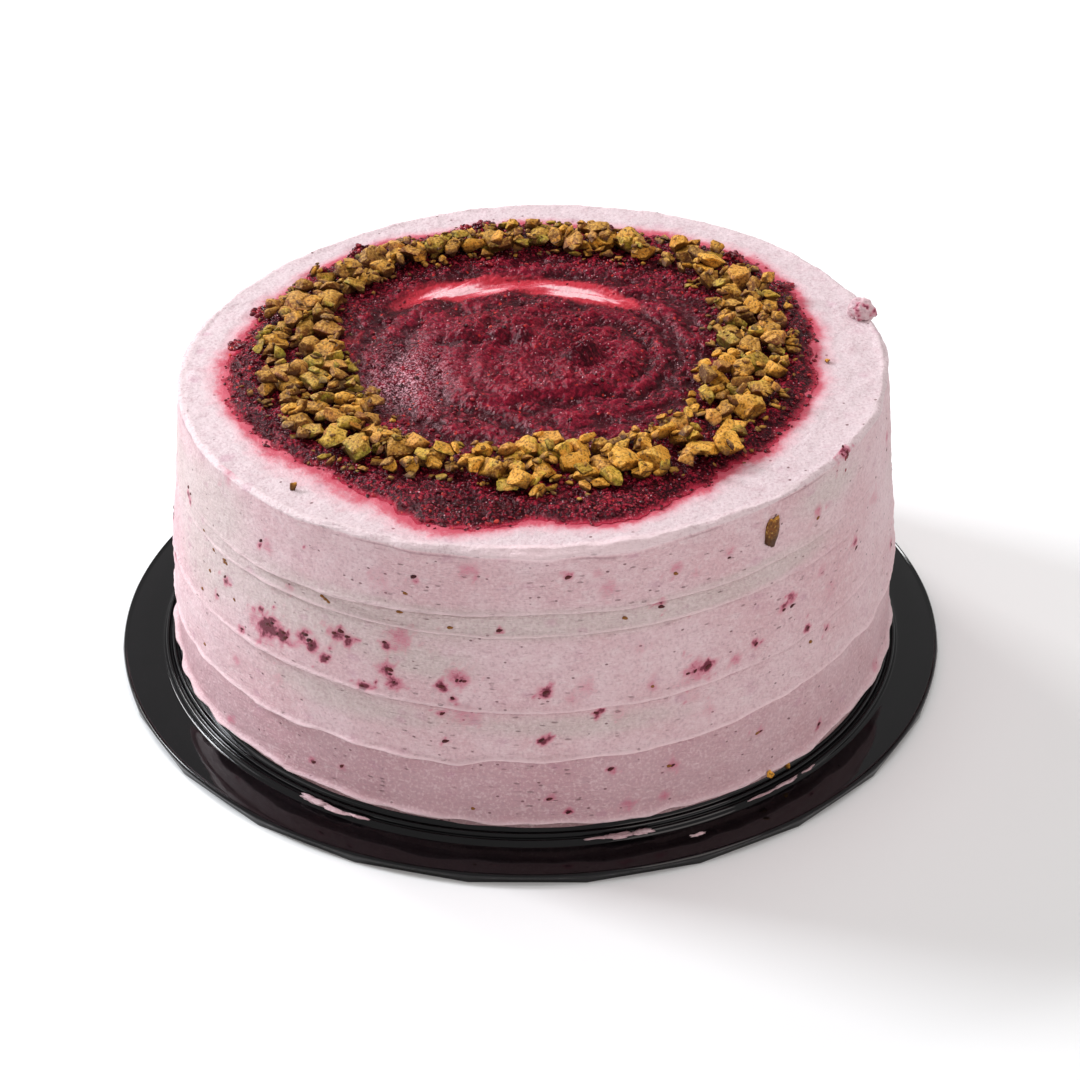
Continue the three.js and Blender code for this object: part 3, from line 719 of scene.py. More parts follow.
def frosting_finish():
    paint = Finish("raspberry_frosting")
    level, juice, stain, plain, crease = map(paint.attribute, ("level", "juice", "stain", "plain", "crease"))
    cloud = paint.noise(24, 3)
    mottle = paint.noise(4.2, 5, paint.stretched(1, 1, 1.8))
    streak = paint.noise(2.2, 4, paint.stretched(1, 1, 5))
    grain = paint.noise(0.9, 4)
    top = paint.mix(mottle.step(0.45, 0.8), (0.70, 0.56, 0.585), (0.63, 0.46, 0.49))
    # The rim's rounded edge and the lip just inside it are paler: a painted highlight.
    top = paint.mix(level.step(7.4, 7.0), top, (0.74, 0.59, 0.61))
    right = paint.node("ShaderNodeSeparateXYZ", {}, {0: paint.place}, 0) / MM
    # The band below the lowest step is darker mauve: partly its own colour, partly painted shade, less of it
    # towards the right.
    low_band_tone_and_shade = level.step(2.0, 1.92) * (0.55 - 0.25 * right.step(30, 90))
    # Dark specks, small pits drawn out sideways by the spatula with painted shade in them, and faint blots.
    speck_cells, speck_kind = paint.cells(2.3, paint.stretched(1, 1, 1.7))
    speck = speck_cells.step(0.26, 0.14) * speck_kind.step(0.93, 0.94)
    pit_cells, pit_kind = paint.cells(1.9, paint.stretched(0.55, 0.55, 2.0))
    pit_and_shade = pit_cells.step(0.3, 0.1) * pit_kind.step(0.72, 0.8) * level.step(6.6, 6.2)
    pit_and_shade = pit_and_shade * mottle.step(0.42, 0.55) * cloud.step(0.42, 0.56)
    blot_cells, blot_kind = paint.cells(7, paint.stretched(1, 1, 1.6))
    blot = (blot_cells + 0.9 * (mottle - 0.5)).step(0.42, 0.0) * blot_kind.step(0.7, 0.8)
    edge = stain + 0.7 * (grain - 0.5) * stain.step(0.0, 0.2)
    soaked = juice + 3.5 * (mottle - 0.5) + 2.5 * (grain - 0.5)
    colour = paint.layers(
        paint.mix(cloud.step(0.35, 0.68), (0.745, 0.53, 0.56), (0.685, 0.43, 0.46)),
        (mottle.step(0.5, 0.75) * 0.5, (0.62, 0.36, 0.41)),
        (mottle.step(0.46, 0.28) * 0.5, (0.80, 0.64, 0.65)),
        ((plain + 0.7 * (mottle - 0.5)).step(0.15, 1.0) * 0.6, (0.59, 0.515, 0.475)),
        (level.step(6.25, 6.4), top),
        (low_band_tone_and_shade, (0.48, 0.235, 0.27)),
        # The strip under the frosting's ragged foot is dark brown: partly the cake's own colour, partly
        # painted shade under the frosting's edge.
        (level.step(1.0, 0.9) * 0.55, (0.30, 0.17, 0.16)),
        (blot * 0.45, (0.52, 0.24, 0.33)),
        (grain.step(0.5, 0.66) * 0.42, (0.84, 0.66, 0.68)),
        (grain.step(0.48, 0.34) * 0.48, (0.50, 0.31, 0.35)),
        # Painted shade in the pits.
        (pit_and_shade * 0.45, (0.40, 0.19, 0.21)),
        (speck * 0.85, (0.14, 0.045, 0.05)),
        (edge.step(0.0, 0.75) * 0.95, (0.58, 0.12, 0.20)),
        (edge.step(0.5, 0.8), (0.15, 0.010, 0.030)),
        # Painted shade under the steps and under the rim's edge, and painted highlight on the steps' lips
        # and on the front of the rim.
        (crease * 0.8, (0.26, 0.12, 0.14)),
        (crease * -0.85, (0.92, 0.68, 0.71)),
        (soaked.step(-3.4, 1.2) * 0.55, (0.76, 0.25, 0.32)),
        (soaked.step(-0.8, 1.6) * 0.9, (0.58, 0.055, 0.10)),
        (soaked.step(2.4, 6.0), (0.36, 0.016, 0.04)),
    )
    return paint.finish(
        base_color=colour,
        roughness=0.5 - 0.2 * soaked.step(-1, 3) + 0.12 * (cloud - 0.5),
        normal=paint.bump(0.6 * streak + 0.5 * mottle - 0.9 * pit_and_shade + 0.3 * grain, 0.7),
        ior=1.45,
    )


# ---- The raspberry topping ----

TOPPING_COLUMNS = 560
TOPPING_ROW = 0.0064
# The arc where the spatula scraped the topping thin, by 12 degrees from the left side round the back:
# its radius, its half-width, and how far it was scraped, from 0 to 1 where the frosting shows.
TRACK_START, TRACK_STEP = -100.0, 12.0
TRACK_RADII = (56.5, 54.0, 54.5, 53.5, 50.3, 47.6, 46.2, 44.6, 42.4, 42.0, 42.2, 42.5)
TRACK_WIDTHS = (2.8, 2.2, 2.0, 3.0, 4.0, 3.7, 3.5, 3.5, 3.8, 3.2, 2.3, 1.6)
TRACK_SHARES = (0.4, 0.1, 0.12, 0.6, 1.35, 1.05, 0.78, 0.88, 1.3, 1.35, 0.8, 0.3)


def track_share(azimuth, radius):
    """How near a place is to the middle of the scraped arc, and how far it is scraped."""
    turn = (TRACK_START - azimuth) % 360 / TRACK_STEP
    steps = np.arange(len(TRACK_RADII))
    middle = np.interp(turn, steps, TRACK_RADII)
    width = np.interp(turn, steps, TRACK_WIDTHS)
    within = smooth(-0.9, 0, np.where(turn > 20, turn - 360 / TRACK_STEP, turn))
    within = within * (1 - smooth(steps[-1] - 0.6, steps[-1] + 0.6, turn))
    return np.interp(turn, steps, TRACK_SHARES) * bell(radius - middle, width) * within


def from_swirl(azimuth, radius):
    """Distance and direction from the swirl's tip."""
    a = np.radians(azimuth)
    dx, dy = radius * np.sin(a) - SWIRL_TIP[0], -radius * np.cos(a) - SWIRL_TIP[1]
    return dx, dy, np.hypot(dx, dy), np.arctan2(dy, dx)


def ledge(x, y):
    """How far a place is behind the ledge that the spatula left, and how strong the ledge is there."""
    return y - 0.004 * (x + 16) ** 2, smooth(4, -4, x) * smooth(-36, -26, x)


def topping_thickness(azimuth, radius):
    """The topping's form without its grain: swirled in the middle and level under the nuts."""
    dx, dy, from_tip, turned = from_swirl(azimuth, radius)
    free = 1 - smooth(0.84, 0.97, radius / around(NUTS_INSIDE, azimuth))
    x, y = dx + SWIRL_TIP[0], dy + SWIRL_TIP[1]
    shift = 1.1 * rough(vectors(x, y, 0), 19, 1)
    waves = 0.6 * np.cos(2 * math.pi * from_tip / 11 - turned - 0.6 + 3 * shift) * smooth(3, 9, from_tip)
    arm = np.interp(np.degrees(turned) % 360, ARM_TURNS, ARM_RADII)
    crest = np.interp(np.degrees(turned) % 360, ARM_TURNS, ARM_HEIGHTS)
    past = from_tip - arm - 1.2 * shift
    waves = waves + crest * np.where(past < 0, bell(past, 5.5), bell(past, 1.9))
    tip = 4.6 * dome(np.hypot(dx, 1.1 * dy), 4.3) + 1.6 * bell(np.hypot(dx + 4.2, dy + 2.5), 2.0)
    tip = tip - 1.2 * bell(np.hypot(dx - 6.5, dy - 1), 3.0)
    rise = 2.5 * dome(np.hypot(x - SWIRL_RISE[0], y - SWIRL_RISE[1]), 3.4)
    plateau = 1.1 * (1 - smooth(12, 40, np.hypot(dx + 22, dy - 4)))
    behind, strength = ledge(x, y)
    plateau = plateau + 1.9 * smooth(7.5, 10.2, behind) * strength * smooth(27, 18, y)
    track = -1.3 * np.minimum(track_share(azimuth, radius), 1)
    return TOPPING_LEVEL + free * (waves + tip + rise + plateau + track)


def topping_grain(points, azimuth, radii):
    """The rounded lumps of crushed raspberry and the wavelets drawn out round the swirl."""
    _, _, from_tip, turned = from_swirl(azimuth, radii)
    from_tip = from_tip + 2.5 * rough(points + 20, 11, 2)
    drawn_out = vectors(from_tip / 1.9, 6.5 * np.cos(turned), 6.5 * np.sin(turned))
    lumps = 1.2 * np.abs(rough(points, 4.2, 2)) + 0.9 * np.abs(rough(points + 50, 2.1, 2)) - 0.55
    stirred = (0.25 + 0.36 * (1 + np.cos(turned + 0.5))) * smooth(60, 48, radii)
    return lumps * (1 - 0.4 * stirred) + stirred * rough(drawn_out, 1.0, 3) + 0.5 * rough(points, 9, 2)


# The rings next to the pulp's edge, as shares of the way in, and how far it reaches below the top.
EDGE_SHARES = (0, 0.002, 0.006, 0.012, 0.02, 0.03, 0.04)
UNDER_TOP = 0.3
# Whole clumps of raspberry at the outer back edge: azimuth, radius and size.
BERRY_LUMPS = ((166, 87, 9), (-169, 84, 8), (-164, 85, 7), (-175, 84, 6), (-141, 87, 7), (-131, 89, 5.5),
               (-113, 90, 6.5), (-99, 90, 5), (158, 81, 6), (132, 84, 5.5), (118, 88, 5))


def topping_rim(azimuth):
    """Where the pulp itself ends, inside the edge of its juice."""
    ragged = 0.8 * ripple(azimuth, 33, 24, 90)
    return topping_edge(azimuth) - 1.9 * fringe(azimuth) + ragged + 0.7 * ripple(azimuth, 34, 90, 170)


def make_topping():
    """The topping's piece, and its grid of points: a row for each ring from the edge inwards."""
    azimuth = np.arange(TOPPING_COLUMNS) * 360 / TOPPING_COLUMNS
    rim = topping_rim(azimuth)
    shares = np.concatenate([1 - np.array(EDGE_SHARES), np.arange(0.952, 0.005, -TOPPING_ROW)])
    radii = shares[:, None] * rim
    points = on_cake(azimuth, radii, 0)
    thickness = topping_thickness(azimuth, radii)
    clumped = np.zeros_like(radii)
    for lump_azimuth, lump_radius, size in BERRY_LUMPS:
        middle = on_cake(lump_azimuth, lump_radius, 0)
        away = np.hypot(points[..., 0] - middle[0], points[..., 1] - middle[1])
        clumped = np.maximum(clumped, 0.42 * size * dome(away, 0.6 * size))
    grain = topping_grain(points, azimuth, radii)
    near_rim = smooth(0, 6.5, rim - radii)
    thin = track_share(azimuth, radii)
    calm = 1 - 0.8 * np.minimum(thin, 1)
    thickness = np.maximum(thickness + clumped + grain * calm * (1 + 0.12 * clumped), 0.3)
    thickness = thickness * (0.02 + 0.98 * near_rim)
    ground = CAKE_TOP + slope(points)
    points[..., 2] = ground + 0.02 + thickness
    under = points[:1].copy()
    under[..., 2] = ground[:1] - UNDER_TOP
    middle = on_cake(0, 0, 0)
    top = (middle[0], middle[1], points[-1, :, 2].mean())
    bottom = (middle[0], middle[1], top_middle()[2] - UNDER_TOP)
    streaks = rough(vectors(radii / 1.1, 4 * np.radians(azimuth), 0), 1.0, 3)
    dx, dy, _, _ = from_swirl(azimuth, radii)
    # Painted shade: the swirl's low places darker, its high places a little lighter.
    hollow_shade = 0.55 * (topping_thickness(azimuth, radii) - TOPPING_LEVEL - 0.4) * (dx ** 2 + dy ** 2 > 60)
    x, y = dx + SWIRL_TIP[0], dy + SWIRL_TIP[1]
    behind, strength = ledge(x, y)
    # Painted shade on the knob's right front side and in a band along the ledge.
    knob_and_ledge_shade = 0.4 * bell(np.hypot(dx - 2.5, dy + 1.5), 2.6) + 0.6 * strength * bell(behind - 7.2, 1.7)
    rows = {
        "thin": thin * (1 + 0.5 * streaks),
        "inward": rim - radii,
        "lump": grain + np.minimum(hollow_shade, 0.3) - knob_and_ledge_shade,
        # Where painted glints crowd, on the left of the swirl.
        "frosty": bell(np.hypot(x + 37, (y + 13) / 1.5), 8.5),
    }
    rows = {key: np.concatenate([values[:1], values]) for key, values in rows.items()}
    return skin("raspberry_pulp", np.concatenate([under, points]), bottom, top, rows), points


def topping_finish():
    paint = Finish("crushed_raspberry")
    thin, inward, lump, frosty = map(paint.attribute, ("thin", "inward", "lump", "frosty"))
    cloud = paint.noise(16, 3)
    grain = paint.noise(1.0, 5, roughness=0.65)
    bits, bit_kind = paint.cells(1.5)
    fine = paint.noise(0.6, 2)
    coarse = 1 - 0.5 * inward.step(24, 36)
    glint_cells, glint_kind = paint.cells(0.8)
    glint = glint_cells.step(0.34, 0.18) * (glint_kind + 0.2 * frosty).step(0.93, 0.96)
    edge = inward + 4 * (grain - 0.5)
    seen = thin + 0.25 * (grain - 0.5)
    colour = paint.layers(
        paint.mix(cloud.step(0.35, 0.7), (0.095, 0.003, 0.011), (0.20, 0.007, 0.024)),
        (inward.step(22, 8) * 0.45, (0.060, 0.002, 0.008)),
        (grain.step(0.52, 0.57) * coarse * 0.8, (0.46, 0.020, 0.044)),
        (grain.step(0.475, 0.43) * coarse * 0.95, (0.012, 0.001, 0.002)),
        # Painted shade in the gaps and hollows, and a painted highlight of brighter red on the lumps' tops.
        (lump.step(0.05, -0.55) * 0.8, (0.018, 0.001, 0.003)),
        (lump.step(0.3, 0.9) * 0.5, (0.40, 0.016, 0.036)),
        # Painted glints: pale pink specks, crowded on the left of the swirl and few elsewhere.
        (frosty * fine.step(0.50, 0.59) * 0.85, (0.70, 0.34, 0.40)),
        (glint * 0.8, (0.74, 0.42, 0.46)),
        (bits.step(0.4, 0.2) * bit_kind.step(0.93, 0.95) * 0.85, (0.60, 0.035, 0.028)),
        (edge.step(2.4, 0.2) * 0.85, (0.52, 0.035, 0.070)),
        (seen.step(0.10, 0.55) * 0.92, (0.56, 0.035, 0.055)),
        (seen.step(0.62, 0.95) * 0.9, (0.80, 0.19, 0.24)),
        (seen.step(0.8, 1.1), (0.86, 0.50, 0.53)),
    )
    relief = (bits.step(0.6, 0.0) * 0.4 + grain * 0.6) * coarse
    return paint.finish(
        base_color=colour,
        roughness=0.06 + 0.12 * cloud,
        normal=paint.bump(relief, 0.8, paint.bump(fine, 0.18)),
        specular_ior_level=0.3,
        specular_tint=(1.0, 0.46, 0.54, 1.0),
        ior=1.42,
    )


# ---- The pistachios ----


def turned_to(long_way, outward):
    """Euler angles that turn a shape's long x axis and its thin z axis to these directions."""
    z = Vector(outward).normalized()
    x = Vector(long_way)
    x = (x - z * x.dot(z)).normalized()
    y = z.cross(x)
    return tuple(Matrix((x, y, z)).transposed().to_euler("XYZ"))


SHARP_EDGE = math.radians(28)
# How far one broken face is turned round the piece from the next, at least, in radians.
CUT_TURN = 2.4


def chip_shape(name, seed, detail, cuts, unevenness):
    """A chopped piece of a kernel: an oval cut by broken faces, its longest half one unit long. Above the
    lowest detail the broken faces are uneven and every face is split. Its attribute skin is 1 where
    the kernel's own skin is left. Gives the piece and its half sizes."""
    draw = seeded(seed)
    oval = Vector((1.0, 0.37 + 0.33 * draw(), 0.25 + 0.25 * draw()))
    body = bmesh.new()
    bmesh.ops.create_icosphere(body, subdivisions=detail, radius=1.0)
    for corner in body.verts:
        corner.co *= oval
    for number in range(cuts):
        height = 1 - 2 * (number + 0.2 + 0.6 * draw()) / cuts
        turn = number * CUT_TURN + 1.8 * draw()
        across = math.sqrt(max(0.0, 1 - height * height))
        normal = Vector((across * math.cos(turn), across * math.sin(turn), height))
        limit = (normal * oval).length * (0.34 + 0.48 * draw())
        everything = [*body.verts, *body.edges, *body.faces]
        cut = bmesh.ops.bisect_plane(
            body, geom=everything, dist=1e-4, plane_co=normal * limit, plane_no=normal, clear_outer=True
        )
        hole = [part for part in cut["geom_cut"] if isinstance(part, bmesh.types.BMEdge)]
        bmesh.ops.holes_fill(body, edges=hole)
        if detail > 1:
            broken = [face for face in body.faces if len(face.verts) > 4]
            poked = bmesh.ops.poke(body, faces=broken)
            for middle in poked["verts"]:
                middle.co += normal * limit * 0.12 * (draw() - 0.6)
    bmesh.ops.triangulate(body, faces=body.faces[:])
    if detail > 1:
        bmesh.ops.subdivide_edges(body, edges=body.edges[:], cuts=1, use_grid_fill=True)
        bmesh.ops.triangulate(body, faces=body.faces[:])
    bmesh.ops.recalc_face_normals(body, faces=body.faces[:])
    body.verts.index_update()
    points = np.array([corner.co[:] for corner in body.verts])
    faces = [[corner.index for corner in face.verts] for face in body.faces]
    body.free()
    skin_left = smooth(0.94, 0.985, np.linalg.norm(points / oval, axis=1))
    offset = np.array([draw() * 40, draw() * 40, draw() * 40])
    points = points * (1 + unevenness * rough(points + offset, 0.35, 3))[:, None]
    low, high = points.min(0), points.max(0)
    points = (points - (low + high) / 2) / (high - low).max() * 2
    chip = mesh_object(name, points / MM, faces, {"skin": skin_left})
    chip.data.set_sharp_from_angle(angle=SHARP_EDGE)
    return chip, (high - low) / (high - low).max()


class Heap:
    """The lie of the heap so far, on a grid: where the next piece comes to rest."""

    CELL = 0.5
    REACH = 112.0

    def __init__(self, ground):
        line = np.arange(-self.REACH, self.REACH, self.CELL)
        self.x, self.y = np.meshgrid(line, line, indexing="ij")
        self.ground = ground(self.x, self.y)
        self.level = self.ground.copy()

    def under(self, x, y, yaw, half):
        """The grid's part under a piece: offsets, shares from its middle to its edge, and heights."""
        reach = max(half[0], half[1])
        low = [int((v - reach + self.REACH) / self.CELL) for v in (x, y)]
        high = [int((v + reach + self.REACH) / self.CELL) + 2 for v in (x, y)]
        part = (slice(low[0], high[0]), slice(low[1], high[1]))
        dx, dy = self.x[part] - x, self.y[part] - y
        along = dx * math.cos(yaw) + dy * math.sin(yaw)
        across = dy * math.cos(yaw) - dx * math.sin(yaw)
        share = (along / half[0]) ** 2 + (across / half[1]) ** 2
        return part, dx, dy, share

    def rest(self, x, y, yaw, half):
        """The height and the lean of a piece that lies here on what is under it."""
        part, dx, dy, share = self.under(x, y, yaw, half)
        inside = share < 1
        level = self.level[part][inside]
        dx, dy, share = dx[inside], dy[inside], share[inside]
        sides = np.stack([dx, dy, np.ones_like(dx)], 1)
        lean = np.clip(np.linalg.lstsq(sides, level, rcond=None)[0][:2], -0.6, 0.6)
        depth = half[2] * np.sqrt(1 - share ** 2)
        return float((level - lean[0] * dx - lean[1] * dy + depth).max()), lean

    def add(self, x, y, z, yaw, half, lean):
        part, dx, dy, share = self.under(x, y, yaw, half)
        top = z + lean[0] * dx + lean[1] * dy + half[2] * np.sqrt(np.clip(1 - share ** 2, 0, 1))
        self.level[part] = np.where(share < 1, np.maximum(self.level[part], top), self.level[part])

    def above_ground(self, x, y, z):
        cell = [int((v + self.REACH) / self.CELL) for v in (x, y)]
        return z - self.ground[cell[0], cell[1]]


def topping_ground(x, y):
    azimuth = np.degrees(np.arctan2(x - CAKE_X, -(y - CAKE_Y)))
    radius = np.hypot(x - CAKE_X, y - CAKE_Y)
    level = CAKE_TOP + TOP_SLOPE[0] * x + TOP_SLOPE[1] * y + 0.25
    on_pulp = radius < topping_rim(azimuth) - 1.5
    return level + np.where(on_pulp, topping_thickness(azimuth, radius), 0)


# Grades of chopped piece: how many, longest and shortest, tries for a low spot, how far past the
# ring's edges, and how each shape is made (ball detail, fewest cuts, unevenness).
NUT_GRADES = {
    "large": (44, 11.2, 8.8, 6, -1.4, (3, 6, 0.13)),
    "medium": (210, 9.2, 4.9, 6, -0.6, (2, 6, 0.12)),
    "small": (400, 4.8, 2.3, 4, 0.8, (1, 5, 0.11)),
    "crumb": (470, 2.3, 0.9, 2, 2.8, (1, 4, 0.08)),
}
NUT_SHAPES = 14
HIGHEST_NUT = 7.6
# A piece rests on the heap with this share of its outline, and sinks in by a share of its half height.
PRINT_SHARE, SMALLEST_PRINT = 0.86, 0.4
SUNK_SHARE = 0.22


def ring_share(azimuth, x, y):
    """Fewer pieces lie in the gap left of the front, at the back and in patches all round."""
    gaps = 1 - 0.85 * bell(apart(azimuth, -22.5), 3.0) - 0.3 * bell(apart(azimuth, -172), 4)
    return gaps * (0.8 + 1.6 * noise.noise((x / 10, y / 10, 3.3)))


def lying(yaw, lean, tip, roll):
    """Euler angles of a piece turned by yaw that lies on a lean, tipped a little more."""
    up = Vector((-lean[0] + tip, -lean[1] + roll, 1))
    return turned_to((math.cos(yaw), math.sin(yaw), 0), up)


def nut_places(heap, halves):
    """Where each piece lies, largest first: the lowest of a few spots drawn at random."""
    draw = seeded(2024)
    placed = {}
    for grade, (count, longest, shortest, tries, past, _) in NUT_GRADES.items():
        placed[grade] = []
        for number in range(count):
            size = (longest + (shortest - longest) * number / count) / 2
            shape = int(draw() * NUT_SHAPES)
            stretch = (1.0, 0.9 + 0.2 * draw(), 0.85 + 0.25 * draw())
            half = halves[grade][shape] * stretch * size
            print_half = np.maximum(half * PRINT_SHARE, SMALLEST_PRINT)
            best = None
            for _ in range(tries):
                azimuth, across, yaw = 360 * draw(), draw(), 2 * math.pi * draw()
                inner = around(NUTS_INSIDE, azimuth) - past + 1.6 * ripple(azimuth, 61, 5, 24)
                outer = around(NUTS_OUTSIDE, azimuth) + past + 1.6 * ripple(azimuth, 62, 5, 24)
                radius = inner + size + (outer - inner - 2 * size) * across
                x, y = on_cake(azimuth, radius, 0)[:2]
                if draw() > ring_share(azimuth, x, y):
                    continue
                height, lean = heap.rest(x, y, yaw, print_half)
                low = heap.above_ground(x, y, height - half[2])
                if low + 2 * half[2] < HIGHEST_NUT and (best is None or low < best[0]):
                    best = (low, x, y, height, yaw, lean, azimuth)
            if best is None:
                continue
            _, x, y, height, yaw, lean, azimuth = best
            height -= SUNK_SHARE * half[2]
            heap.add(x, y, height, yaw, print_half, lean)
            tip, roll = 0.5 * (draw() - 0.5), 0.5 * (draw() - 0.5)
            placed[grade].append(dict(
                at=(x, y, height),
                turn=lying(yaw, lean, tip, roll),
                size=tuple(size * s for s in stretch),
                shape=shape,
                # Pieces at the front get a lighter tint and those at the left a darker one: painted light
                # and shade on top of the random tone.
                tint=draw() + 0.4 * float(bell(apart(azimuth, 0), 40) - bell(apart(azimuth, -95), 45)),
                green=draw(),
                foot=height - half[2],
            ))
    return placed


def nut_finish():
    paint = Finish("chopped_pistachio")
    tint, green, skin_left, facing = map(paint.attribute, ("tint", "green", "skin", "facing"))
    grain = paint.noise(0.8, 5, roughness=0.65)
    patch = paint.noise(3.0, 3)
    rise = paint.node("ShaderNodeSeparateXYZ", {}, {0: paint.place}, 2) / MM - paint.attribute("foot")
    gold = paint.mix(tint, (0.62, 0.215, 0.013), (0.95, 0.415, 0.040))
    roasted = paint.mix(tint.step(0.4, 0.9), (0.23, 0.072, 0.010), (0.48, 0.195, 0.018))
    flesh = paint.mix((patch + 0.6 * (tint - 0.5)).step(0.38, 0.6), roasted, gold)
    leafy = paint.mix(patch.step(0.35, 0.7), (0.17, 0.165, 0.008), (0.48, 0.44, 0.03))
    coat = paint.mix(tint.step(0.2, 0.8), (0.27, 0.11, 0.018), (0.52, 0.27, 0.03))
    coat = paint.mix(green.step(0.13, 0.11), coat, (0.10, 0.055, 0.05))
    colour = paint.layers(
        flesh,
        ((green + 0.9 * (patch - 0.5)).step(0.72, 0.95) * 0.8, leafy),
        (skin_left * patch.step(0.35, 0.6) * 0.85, coat),
        (green.step(0.24, 0.21) * 0.4, (0.40, 0.11, 0.06)),
        (green.step(0.07, 0.05) * 0.85, (0.13, 0.065, 0.045)),
        # Painted highlight on faces that look up.
        (facing.step(0.35, 0.95) * 0.45, (0.95, 0.49, 0.07)),
        (grain.step(0.54, 0.65) * 0.6, (0.93, 0.60, 0.15)),
        (grain.step(0.51, 0.39) * 0.75, (0.11, 0.038, 0.005)),
        # Painted shade on faces that look down.
        (facing.step(0.45, -0.3) * 0.8, (0.075, 0.024, 0.005)),
        # Darker near the pulp: partly juice stain at the pieces' feet, partly painted shade between them.
        (rise.step(2.2, 0.0) * 0.75, (0.06, 0.017, 0.005)),
    )
    return paint.finish(
        base_color=colour,
        roughness=0.42 + 0.25 * grain,
        normal=paint.bump(0.6 * grain + 0.4 * paint.noise(2.0, 3), 0.75),
        specular_ior_level=0.4,
        ior=1.45,
    )


NUT_VALUES = ("tint", "green", "foot")


def chips(grade, count=NUT_SHAPES):
    detail, cuts, unevenness = NUT_GRADES[grade][5]
    seed = 100 * (1 + list(NUT_GRADES).index(grade))
    return [chip_shape("chip", seed + n, detail, cuts + n % 3, unevenness) for n in range(count)]


def mark_facing(piece):
    """Keeps how far each point of the piece faces up, as an attribute: the nut finish paints highlight on
    the faces that look up and shade on those that look down.
    """
    normals = np.zeros(3 * len(piece.data.vertices), np.float32)
    piece.data.vertices.foreach_get("normal", normals)
    layer = piece.data.attributes.new("facing", "FLOAT", "POINT")
    layer.data.foreach_set("value", normals[2::3].copy())
    return piece


def make_nuts(material):
    shapes = {grade: chips(grade) for grade in NUT_GRADES}
    halves = {grade: [half for _, half in made] for grade, made in shapes.items()}
    placed = nut_places(Heap(topping_ground), halves)
    pieces = []
    for grade, made in shapes.items():
        bodies = [chip for chip, _ in made]
        pieces.append(scatter("pistachio_" + grade, bodies, placed[grade], material, NUT_VALUES))
    return [mark_facing(piece) for piece in pieces]


# ---- Seeds and bits ----

SEED_SHAPES = 5


def ball_directions(detail):
    """Directions spread evenly over a ball, and the faces that join them."""
    ball = bmesh.new()
    bmesh.ops.create_icosphere(ball, subdivisions=detail, radius=1.0)
    directions = np.array([v.co.normalized() for v in ball.verts])
    faces = [[v.index for v in f.verts] for f in ball.faces]
    ball.free()
    return directions, faces


def pitted(seed, detail, half, unevenness, grain=0.8):
    """Points and faces of an uneven oval with these half sizes."""
    draw = seeded(seed)
    directions, faces = ball_directions(detail)
    offset = np.array([draw() * 30, draw() * 30, draw() * 30])
    radius = 1 + unevenness * rough(directions * np.array(half) / max(half) + offset, grain, 3)
    return directions * radius[:, None] * half, faces


def seed_shape(name, seed, detail):
    """A raspberry seed or bead of pulp, one unit in half-length."""
    points, faces = pitted(seed, detail, (1.0, 0.62, 0.5), 0.22)
    points[:, 1:] *= 1 - 0.25 * points[:, :1]
    return mesh_object(name, points / MM, faces)


def outward(azimuth):
    a = math.radians(azimuth)
    return Vector((math.sin(a), -math.cos(a), 0.0))


def in_wall(azimuth, height, surface, proud=-0.1):
    """A point at an azimuth and a height that stands proud of the frosted wall, or is sunk in it."""
    column = surface[: sum(WALL_ROWS) + RIM_ROWS, round(azimuth % 360 / 360 * CAKE_COLUMNS) % CAKE_COLUMNS]
    return column[np.abs(column[:, 2] - height).argmin()] + np.array(outward(azimuth)) * proud


def along_wall(azimuth, spin):
    """The direction in the wall's surface that is turned by spin degrees from level."""
    a, s = math.radians(azimuth), math.radians(spin)
    return Vector((math.cos(a) * math.cos(s), math.sin(a) * math.cos(s), math.sin(s)))


# Specks of nut and brown seed in the wall: azimuth and height.
BROWN_SPECKS = (
    (-62, 70), (-55.4, 66), (-55.0, 66.6), (-54.6, 65.8), (-58.5, 66.5), (-12.2, 73), (-32.8, 72.5),
    (-32.2, 72.0), (-33.3, 72.9), (-18.9, 82), (-61.5, 51.5), (-61, 32.5), (-9, 14.5), (14, 48),
    (17.2, 53), (13.5, 75), (21.2, 86), (46, 47.8), (35.5, 27), (20.5, 24.3), (48.5, 86), (-20, 74.5),
    (-16, 70.2), (-52, 57), (-59, 60), (112, 62), (140, 40), (170, 70), (201, 33), (233, 66), (262, 52),
)


def wall_seed_places(surface):
    """Dark seeds in the middle of the dark bits and brown specks, all flat in the wall."""
    draw = seeded(88)
    places = []
    for azimuth, height, radius, strength in berry_bits():
        if strength < 0.6 or height > 94:
            continue
        count, spread = (1, 0.0) if radius < 2 else (3, 0.7 * radius)
        for _ in range(count):
            turn = azimuth + (draw() - 0.5) * spread
            rise = height + (draw() - 0.5) * spread
            size = 0.6 + 0.4 * draw()
            places.append(dict(
                at=in_wall(turn, rise, surface),
                turn=turned_to(along_wall(turn, 70 * (draw() - 0.2)), outward(turn)),
                size=(size * 1.15, size, size * 0.8),
                shape=int(draw() * SEED_SHAPES),
                tint=draw(),
            ))
    for azimuth, height in BROWN_SPECKS:
        places.append(dict(
            at=in_wall(azimuth, height, surface),
            turn=turned_to(along_wall(azimuth, 50 * (draw() - 0.6)), outward(azimuth)),
            size=(0.6 + 0.5 * draw(), 0.85, 0.7),
            shape=int(draw() * SEED_SHAPES),
            tint=2.0 + draw(),
        ))
    return places


